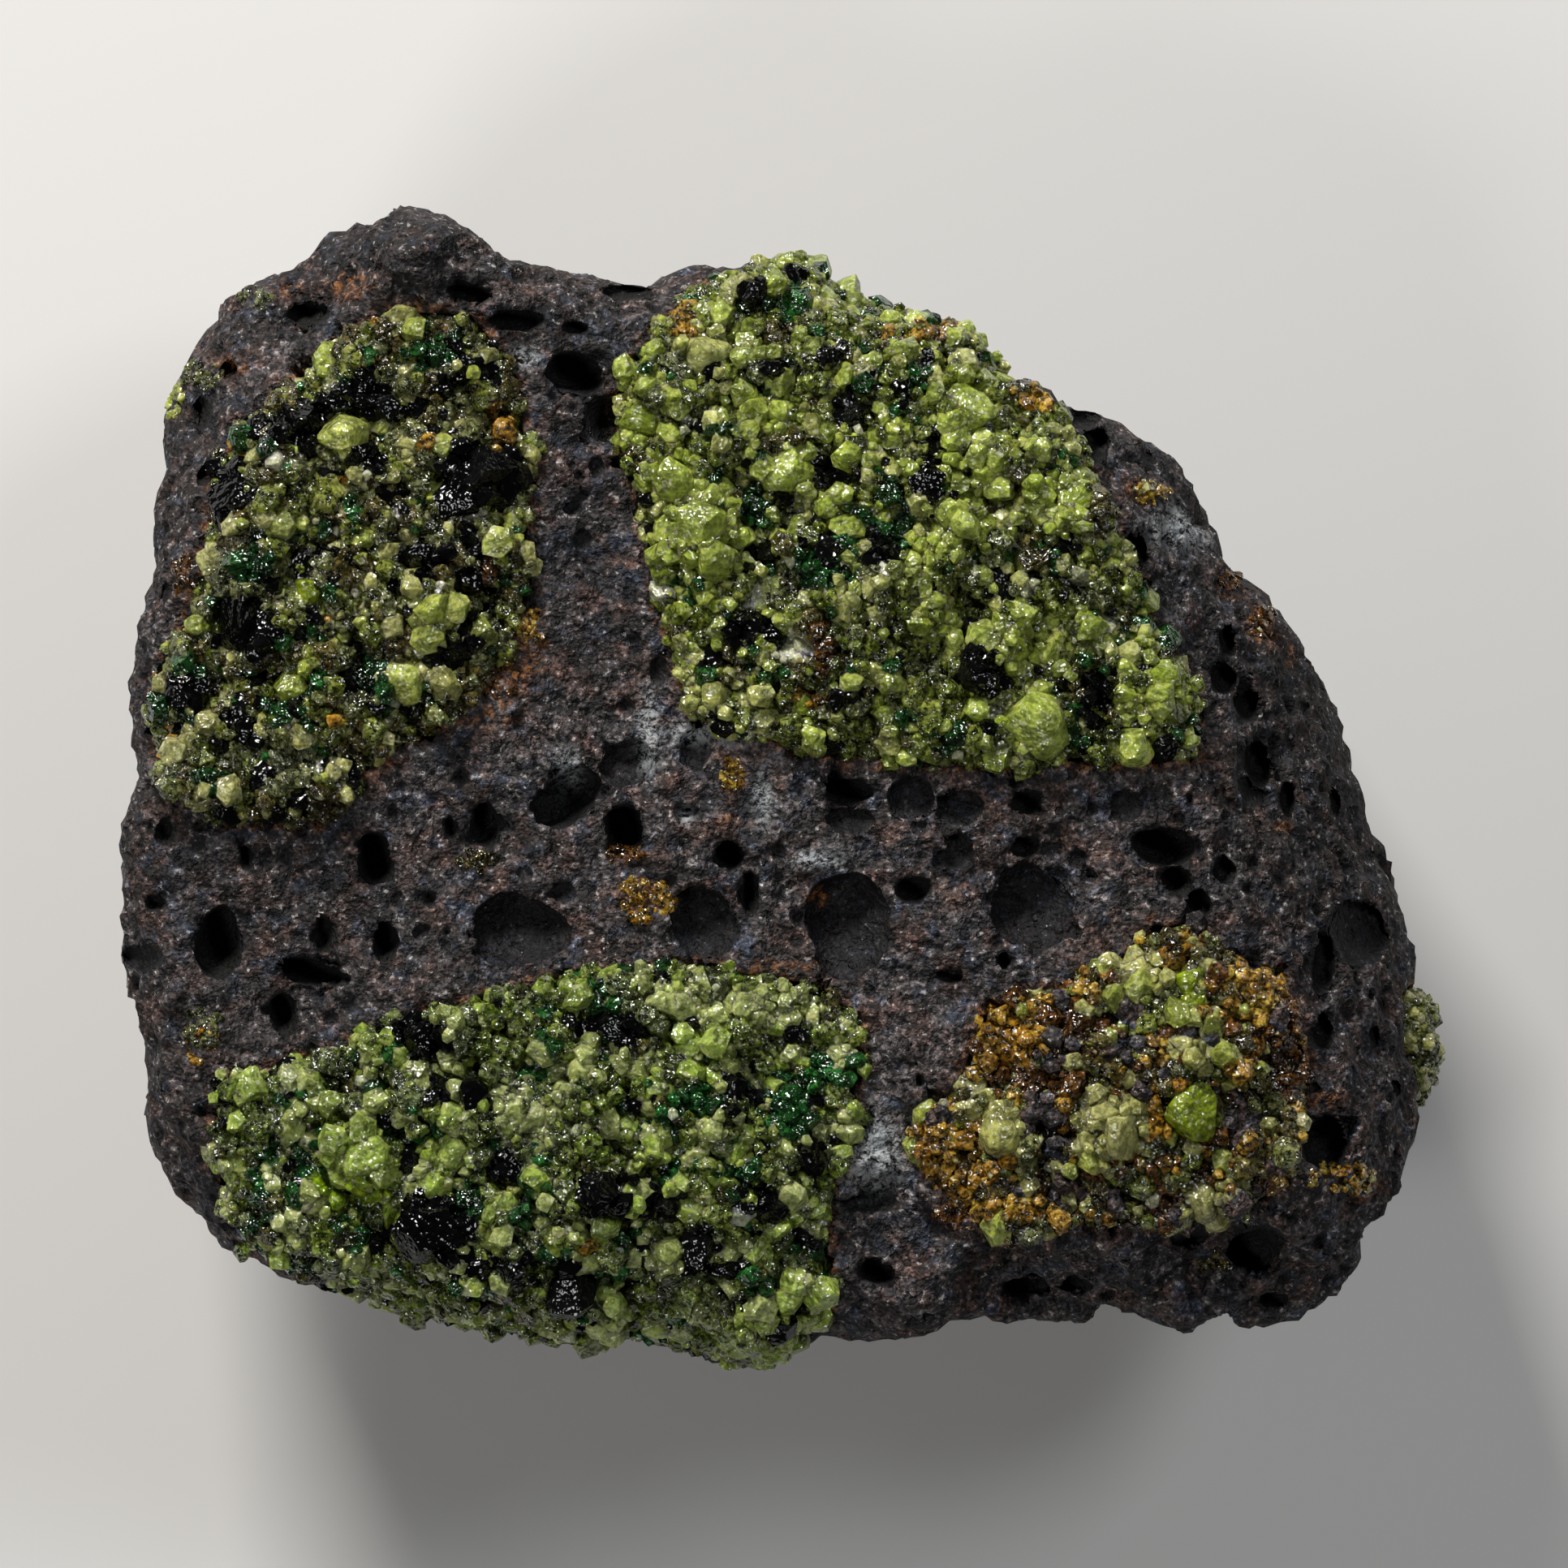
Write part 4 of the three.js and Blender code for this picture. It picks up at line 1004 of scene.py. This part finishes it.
def cutStone(source, cuts):
    # One angular stone: a block whose corners and edges are cut off by flat planes
    shape = bmesh.new()
    bmesh.ops.create_cube(shape, size=grainForm["block"])
    corners = [Vector(vertex.co).normalized() for vertex in shape.verts]
    for number in range(cuts):
        spread = Vector(source.normal(size=3)) * grainForm["cutSpread"]
        facing = (corners[number % len(corners)] + spread).normalized()
        distance = source.uniform(grainForm["cutFrom"], grainForm["cutTo"])
        everything = shape.verts[:] + shape.edges[:] + shape.faces[:]
        cut = bmesh.ops.bisect_plane(shape, geom=everything, dist=1e-5, plane_co=facing * distance,
                                     plane_no=facing, clear_outer=True)
        edges = [part for part in cut["geom_cut"] if isinstance(part, bmesh.types.BMEdge)]
        bmesh.ops.contextual_create(shape, geom=edges)
    bmesh.ops.remove_doubles(shape, verts=shape.verts, dist=grainForm["merged"])
    bmesh.ops.dissolve_degenerate(shape, edges=shape.edges, dist=grainForm["slim"])
    stretchStone(shape, source)
    bmesh.ops.triangulate(shape, faces=shape.faces)
    bmesh.ops.recalc_face_normals(shape, faces=shape.faces)
    return arraysOf(shape)


def roundStone(source):
    # A larger crystal with a broken, gently lumpy skin
    shape = bmesh.new()
    bmesh.ops.create_icosphere(shape, subdivisions=crystalForm["fineness"], radius=1)
    lumps = crystalForm["lumps"]
    shift = Vector(source.uniform(0, 50, 3))
    for vertex in shape.verts:
        lump = noise.fractal(vertex.co * lumps["size"] + shift, *lumps["fractal"])
        vertex.co *= 1 + lumps["rise"] * lump
    for _ in range(crystalForm["flats"]):
        facing = Vector(source.normal(size=3)).normalized()
        distance = source.uniform(crystalForm["flatFrom"], crystalForm["flatTo"])
        for vertex in shape.verts:
            beyond = vertex.co.dot(facing) - distance
            if beyond > 0:
                vertex.co -= facing * beyond
    stretchStone(shape, source)
    return arraysOf(shape)


def randomTurns(source, count):
    # Turns in every direction alike, as 3 by 3 matrices
    q = source.normal(size=(count, 4))
    q /= np.linalg.norm(q, axis=1)[:, None]
    w, x, y, z = q.T
    rows = [
        [1 - 2 * (y * y + z * z), 2 * (x * y - w * z), 2 * (x * z + w * y)],
        [2 * (x * y + w * z), 1 - 2 * (x * x + z * z), 2 * (y * z - w * x)],
        [2 * (x * z - w * y), 2 * (y * z + w * x), 1 - 2 * (x * x + y * y)],
    ]
    return np.array(rows).transpose(2, 0, 1)


def newHeap():
    # Collects many small stones, to be joined in one mesh
    return {"corners": [], "triangles": [], "tints": [], "slots": [], "count": 0}


def addToHeap(heap, corners, triangles, tints, slots):
    heap["corners"].append(corners)
    heap["triangles"].append(triangles + heap["count"])
    heap["tints"].append(tints)
    heap["slots"].append(slots)
    heap["count"] += len(corners)


def joinHeap(heap, name, materials):
    corners = np.concatenate(heap["corners"])
    triangles = np.concatenate(heap["triangles"])
    mesh = bpy.data.meshes.new(name)
    mesh.vertices.add(len(corners))
    mesh.vertices.foreach_set("co", corners.astype(np.float32).ravel())
    mesh.loops.add(triangles.size)
    mesh.loops.foreach_set("vertex_index", triangles.astype(np.int32).ravel())
    mesh.polygons.add(len(triangles))
    mesh.polygons.foreach_set("loop_start", np.arange(0, triangles.size, 3, dtype=np.int32))
    mesh.polygons.foreach_set("material_index", np.concatenate(heap["slots"]).astype(np.int32))
    mesh.polygons.foreach_set("use_smooth", np.ones(len(triangles), bool))
    mesh.update(calc_edges=True)
    mesh.set_sharp_from_angle(angle=math.radians(grainForm["sharpAngle"]))
    layer = mesh.color_attributes.new("tint", "FLOAT_COLOR", "POINT")
    layer.data.foreach_set("color", np.concatenate(heap["tints"]).astype(np.float32).ravel())
    for material in materials:
        mesh.materials.append(material)
    return addObject(mesh.name, mesh)


def exposedPlaces(mesh):
    # Middles, normals and areas of the faces that no rock covers, and of those just inside the brim
    middles, normals, areas = [], [], []
    limits = grainForm["bare"]
    for face in mesh.polygons:
        start = face.center + face.normal * limits["start"]
        bare = basaltSurface.ray_cast(start, face.normal, limits["reach"])[0] is None
        if not bare:
            x, y, z = face.center
            hits = [straightDown(surface, x, y)[0] for surface in (basaltSurface, noduleSurface)]
            bare = max(hit.z for hit in hits if hit) - z < limits["brim"]
        if bare:
            middles.append(face.center[:])
            normals.append(face.normal[:])
            areas.append(face.area)
    return np.array(middles), np.array(normals), np.array(areas)


def thinOut(points, radii, spacing):
    # Keeps the first of any stones that lie closer than their sizes allow
    tree = treeOf(points)
    alive = np.ones(len(points), bool)
    widest = radii.max()
    for index in range(len(points)):
        if not alive[index]:
            continue
        for _, other, distance in tree.find_range(points[index], spacing * (radii[index] + widest)):
            if other > index and distance < spacing * (radii[index] + radii[other]):
                alive[other] = False
    return np.flatnonzero(alive)


def kindsOfGrains(source, points, shares):
    # Each kind keeps together in patches of its own
    names = list(shares)
    patches, edges = grainForm["patches"], grainForm["edges"]
    fields = [fieldOf(points, patches["width"], number) for number in range(len(names))]
    weights = np.array([shares[name] * np.exp(patches["strength"] * field)
                        for name, field in zip(names, fields)]).T
    steps = np.cumsum(weights / weights.sum(axis=1)[:, None], axis=1)
    picked = (source.random((len(points), 1)) > steps).sum(axis=1)
    kinds = np.array(names, dtype=object)[np.minimum(picked, len(names) - 1)]
    wobble = fieldOf(points, edges["width"])
    for name, spots in clusters.items():
        for spot in spots:
            inside = np.hypot(*acrossSpot(points, *spot)) + edges["strength"] * wobble < 1
            kinds[inside & (source.random(len(points)) < edges["filled"])] = name
    return kinds


def placeCrystals(surface, box):
    # The single large crystals that stand on this nodule
    places, ups, radii, kinds = [], [], [], []
    for kind, spots in crystals.items():
        for column, row, radius in spots:
            x, y = fromPhoto(column, row)
            if not (box[0].x < x < box[1].x and box[0].y < y < box[1].y):
                continue
            hit, normal = straightDown(surface, x, y)
            if hit is None:
                continue
            places.append(hit[:])
            ups.append(normal[:])
            radii.append(crystalForm["grow"] * radius * shot["pixelSize"])
            kinds.append(kind)
    return np.array(places).reshape(-1, 3), np.array(ups).reshape(-1, 3), np.array(radii), kinds


def tintsOf(source, points, kinds):
    tint = grainForm["tint"]
    low = np.array([grainKinds[kind]["tones"][0] for kind in kinds])
    high = np.array([grainKinds[kind]["tones"][1] for kind in kinds])
    share = 0.5 + tint["patches"] * fieldOf(points, tint["width"], 9.0)
    share = np.clip(share + tint["single"] * source.normal(size=len(points)), 0, 1)
    return np.minimum(low + (high - low) * share[:, None], tint["lightest"])


def slotsOf(kinds, materialNames):
    return np.array([materialNames.index(grainKinds[kind]["material"]) for kind in kinds])


def fillHeap(heap, source, stones, points, radii, tints, slots):
    # Puts one stone at each point, with its own turn, size and colour
    turns = randomTurns(source, len(points))
    choice = source.integers(0, len(stones), len(points))
    for variant, (corners, triangles) in enumerate(stones):
        chosen = np.flatnonzero(choice == variant)
        if len(chosen) == 0:
            continue
        placed = np.einsum("nij,kj->nki", turns[chosen], corners) * radii[chosen][:, None, None]
        placed += points[chosen][:, None, :]
        offsets = np.arange(len(chosen))[:, None, None] * len(corners)
        rgba = np.ones((len(chosen), len(corners), 4))
        rgba[:, :, :3] = tints[chosen][:, None, :]
        faces = (triangles[None] + offsets).reshape(-1, 3)
        faceSlots = np.repeat(slots[chosen], len(triangles))
        addToHeap(heap, placed.reshape(-1, 3), faces, rgba.reshape(-1, 4), faceSlots)


def swellOf(points):
    # How far the broken surface of a nodule stands out or in
    return sum(rise * fieldOf(points, width, 3.0 + rise) for width, rise in grainForm["swells"])


def crackOf(points):
    # 1 in the middle of the winding cracks, 0 away from them
    cracks = grainForm["cracks"]
    winding = fieldOf(points, cracks["width"], 21.0)
    gaps = fieldOf(points, cracks["breaks"] * cracks["width"], 23.0)
    there = np.clip(0.5 + cracks["contrast"] * gaps, 0, 1)
    return there * np.exp(-(winding / cracks["share"]) ** 2)


def tryPlaces(source, mesh, box, fineness):
    # Places where a grain could stand: the large crystals, then large grains, then small ones
    middles, normals, areas = exposedPlaces(mesh)
    area = areas.sum()
    *crystalGroup, crystalKinds = placeCrystals(surfaceOf(mesh), box)
    groups = [crystalGroup]
    for smallest, largest, rate in grainForm["sizes"]:
        smallest, largest = smallest * fineness, largest * fineness
        typical = (smallest + largest) / 2
        count = int(rate * area / (math.pi * typical ** 2))
        chosen = source.choice(len(areas), count, p=areas / area)
        scatter = source.normal(size=(count, 3)) * grainForm["scatter"] * fineness
        radii = smallest + (largest - smallest) * source.random(count) ** grainForm["mostlySmall"]
        groups.append((middles[chosen] + scatter, normals[chosen], radii))
    points, ups, radii = [np.concatenate(part) for part in zip(*groups)]
    return points, ups, radii, crystalKinds


def addMass(heap, mesh, fineness, points, tints, slots):
    # The mass behind the grains: the nodule's own solid, sunk a little, and coloured like the grains on it,
    # a little darker as painted shade
    shape = bmesh.new()
    shape.from_mesh(mesh)
    bmesh.ops.triangulate(shape, faces=shape.faces)
    outward = np.array([vertex.normal[:] for vertex in shape.verts])
    corners, triangles = arraysOf(shape)
    lower = grainForm["sunk"] + grainForm["cracks"]["depth"] * crackOf(corners)
    corners += outward * (fineness * swellOf(corners) - lower)[:, None]
    tree = treeOf(points)
    closest = np.array([tree.find(corner)[1] for corner in corners])
    massTints = np.column_stack([tints[closest] * grainForm["massShadeTone"], np.ones(len(closest))])
    addToHeap(heap, corners, triangles, massTints, slots[closest[triangles[:, 0]]])


def chooseGrains(source, mesh, box, settings):
    # Where the grains of a nodule stand, their radii and kinds, and how deep in a crack they are
    fineness = settings.get("fineness", 1.0)
    points, ups, radii, crystalKinds = tryPlaces(source, mesh, box, fineness)
    large = len(crystalKinds)
    room = radii.copy()
    room[:large] *= crystalForm["room"]
    kept = thinOut(points, room, grainForm["spacing"])
    kinds = kindsOfGrains(source, points, settings["shares"])
    kinds[:large] = crystalKinds
    crack = crackOf(points)
    crack[:large] = 0
    lift = source.uniform(*grainForm["lift"], len(points)) * radii - grainForm["cracks"]["depth"] * crack
    lift += fineness * swellOf(points)
    lift[:large] -= crystalForm["sunk"] * radii[:large]
    points = points + ups * lift[:, None]
    isCrystal = (kept < large) & (kinds[kept] != "spinel")
    return points[kept], radii[kept], kinds[kept], crack[kept], isCrystal


def makeNodule(name, settings, materials):
    # A heap of grains on the nodule's own solid, joined in one mesh
    source = np.random.default_rng(settings["seed"])
    core = mergedCopy(name, name + "_core")
    evenOut(core, grainForm["voxel"], grainForm["smoothing"])
    points, radii, kinds, crack, isCrystal = chooseGrains(source, core.data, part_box(name), settings)
    radii = radii * np.array([grainForm["larger"].get(kind, 1.0) for kind in kinds])
    # Grains deep in the cracks are painted darker, as painted shade
    tints = tintsOf(source, points, kinds) * (1 - grainForm["cracks"]["crackShade"] * crack)[:, None]
    tints *= np.array(settings.get("hue", (1, 1, 1)))
    slots = slotsOf(kinds, [material.name for material in materials])
    heap = newHeap()
    addMass(heap, core.data, settings.get("fineness", 1.0), points, tints, slots)
    crystalStones = [roundStone(source) for _ in range(crystalForm["variants"])]
    grainStones = [cutStone(source, grainForm["cuts"]) for _ in range(grainForm["variants"])]
    for stones, chosen in ((crystalStones, isCrystal), (grainStones, ~isCrystal)):
        if chosen.any():
            fillHeap(heap, source, stones, points[chosen], radii[chosen], tints[chosen], slots[chosen])
    bpy.data.objects.remove(core)
    piece = joinHeap(heap, name + "_grains", materials)
    print(name, "has", len(points), "grains and", countTriangles(piece.data), "triangles")
    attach(piece, "root")
    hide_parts(name)


# Finish of each kind of grain. The density is that of the light taken up inside it. The flecks are whitish
# fractures that are also painted glints
grainFinish = {
    "clearPeridot": {
        "roughness": 0.07, "ior": 1.67, "transmission": 0.80, "inside": (0.91, 0.96, 0.42),
        "density": 450.0, "glow": 1.0, "ripple": 0.32 * mm, "relief": 0.34 * mm, "mottle": (0.12, 1.45),
        "flecks": 0.13,
    },
    "cloudyPeridot": {
        "roughness": 0.09, "ior": 1.67, "transmission": 0.55, "inside": (0.91, 0.96, 0.42),
        "density": 350.0, "glow": 1.0, "ripple": 0.32 * mm, "relief": 0.22 * mm, "mottle": (0.62, 1.15),
        "flecks": 0.13,
    },
    "chromeDiopside": {
        "roughness": 0.05, "ior": 1.68, "transmission": 0.55, "inside": (0.10, 0.75, 0.30),
        "density": 700.0, "glow": 0.5, "ripple": 0.45 * mm, "relief": 0.4 * mm, "mottle": (0.2, 1.4),
        "flecks": 0.0,
    },
    "blackSpinel": {
        "roughness": 0.10, "ior": 1.72, "transmission": 0.0, "inside": None, "density": 0.0,
        "glow": 0.0, "ripple": 0.42 * mm, "relief": 0.17 * mm, "mottle": (0.5, 1.0), "flecks": 0.0,
        "shine": 0.20,
    },
    "stainedGrain": {
        "roughness": 0.11, "ior": 1.60, "transmission": 0.55, "inside": (0.95, 0.72, 0.36),
        "density": 300.0, "glow": 0.9, "ripple": 0.34 * mm, "relief": 0.26 * mm, "mottle": (0.12, 1.5),
        "flecks": 0.03,
    },
}
# What all of them have in common
grainLook = {
    "cloud": (1.5 * mm, 3.0, 0.6),  # noises: how wide the lumps are, then detail and roughness
    "cloudTone": (0.55, 1.15),
    "mottle": (0.42 * mm, 3.0, 0.65),
    "contrast": (0.38, 0.62),  # the part of a noise that goes from dark to light
    "fleckSize": 0.26 * mm,
    "fleckShare": 0.9,
    "chipGlintTone": (0.74, 0.77, 0.44, 1),
    "glowTone": (1.0, 1.1, 0.5),
    "glowDepth": 0.35 * mm,
    "shine": 0.5,  # unless the finish has its own
}


def grainMaterial(name, finish):
    material, tree, shader = startMaterial(name)
    look = grainLook
    cloud = between(tree, objectNoise(tree, *look["cloud"]), *look["contrast"], *look["cloudTone"])
    mottle = between(tree, objectNoise(tree, *look["mottle"]), *look["contrast"], *finish["mottle"])
    shade = greyOf(tree, multiply(tree, cloud, mottle))
    colour = mixColours(tree, 1.0, attribute(tree, "tint", "Color"), shade, "MULTIPLY")
    if finish["flecks"]:
        # Small whitish fractures, painted near white: partly their own colour, partly painted glints
        pick = pickOf(tree, objectCells(tree, look["fleckSize"]))
        chipsAndGlints = between(tree, pick, 1 - finish["flecks"], 1.0, 0.0, look["fleckShare"])
        colour = mixColours(tree, multiply(tree, chipsAndGlints, mottle), colour, look["chipGlintTone"])
    tree.links.new(colour, shader.inputs["Base Color"])
    shader.inputs["Roughness"].default_value = finish["roughness"]
    shader.inputs["IOR"].default_value = finish["ior"]
    shader.inputs["Specular IOR Level"].default_value = finish.get("shine", look["shine"])
    shader.inputs["Transmission Weight"].default_value = finish["transmission"]
    shader.inputs["Subsurface Weight"].default_value = finish["glow"]
    shader.inputs["Subsurface Radius"].default_value = look["glowTone"]
    shader.inputs["Subsurface Scale"].default_value = look["glowDepth"]
    ripples = objectNoise(tree, finish["ripple"], 1.0, 0.5)
    tree.links.new(bump(tree, ripples, finish["relief"]), shader.inputs["Normal"])
    if finish["inside"]:
        inputs = {"Color": (*finish["inside"], 1), "Density": finish["density"]}
        absorber = addNode(tree, "ShaderNodeVolumeAbsorption", None, inputs)
        tree.links.new(absorber.outputs[0], tree.nodes["Material Output"].inputs["Volume"])
    return material


# Small grains that sit on the basalt, in pixels: kind, column, row, half width, half height and how many
crusts = [
    ("amber", 795, 1108, 34, 28, 70), ("amber", 903, 958, 12, 24, 44), ("brown", 590, 1062, 24, 14, 30),
    ("amber", 1420, 606, 30, 14, 30), ("pale", 1412, 600, 14, 8, 8), ("grey", 245, 460, 26, 20, 46),
    ("bright", 207, 488, 12, 24, 26), ("rust", 771, 1054, 26, 10, 26), ("rust", 1522, 714, 26, 10, 18),
    ("rust", 1563, 765, 18, 22, 18), ("grey", 313, 362, 22, 16, 20), ("amber", 655, 775, 16, 24, 36),
    ("rust", 612, 835, 26, 30, 44), ("amber", 245, 1285, 22, 26, 16), ("grey", 252, 1268, 22, 26, 50),
    ("amber", 1655, 1452, 44, 18, 60), ("pale", 1680, 1462, 24, 10, 14), ("amber", 1150, 1412, 26, 30, 44),
    ("rust", 1200, 1500, 50, 16, 50), ("brown", 1500, 1560, 24, 12, 16), ("rust", 230, 705, 14, 24, 22),
    ("amber", 1275, 545, 10, 8, 8),
]
crustForm = {
    "seed": 31,
    "smallest": 0.13 * mm,
    "largest": 0.42 * mm,
    "mostlySmall": 1.6,
    "sunk": 0.45,  # in radii
    "variants": 8,
    "cuts": 6,
}


def makeCrusts(rock, materials):
    # Stray grains and crusts on the rock, laid on the finished surface
    source = np.random.default_rng(crustForm["seed"])
    surface = surfaceOf(rock.data)
    places, kinds = [], []
    for kind, column, row, halfWidth, halfHeight, count in crusts:
        for _ in range(count):
            angle, reach = source.uniform(0, 2 * math.pi), math.sqrt(source.random())
            across, along = halfWidth * reach * math.cos(angle), halfHeight * reach * math.sin(angle)
            hit = straightDown(surface, *fromPhoto(column + across, row + along))[0]
            if hit is not None:
                places.append(hit[:])
                kinds.append(kind)
    points, kinds = np.array(places), np.array(kinds, dtype=object)
    share = source.random(len(points)) ** crustForm["mostlySmall"]
    radii = crustForm["smallest"] + (crustForm["largest"] - crustForm["smallest"]) * share
    points[:, 2] -= crustForm["sunk"] * radii
    stones = [cutStone(source, crustForm["cuts"]) for _ in range(crustForm["variants"])]
    heap = newHeap()
    slots = slotsOf(kinds, [material.name for material in materials])
    fillHeap(heap, source, stones, points, radii, tintsOf(source, points, kinds), slots)
    piece = joinHeap(heap, "basalt_crust_grains", materials)
    print("basalt_crust_grains has", len(points), "grains and", countTriangles(piece.data), "triangles")
    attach(piece, "root")
    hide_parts("basalt_matrix")


basaltPiece = makeBasalt()
grainMaterials = [grainMaterial(name, finish) for name, finish in grainFinish.items()]
grainMaterials.append(basaltPiece.data.materials[0])
makeCrusts(basaltPiece, grainMaterials)
for noduleName, noduleSettings in nodules.items():
    makeNodule(noduleName, noduleSettings, grainMaterials)
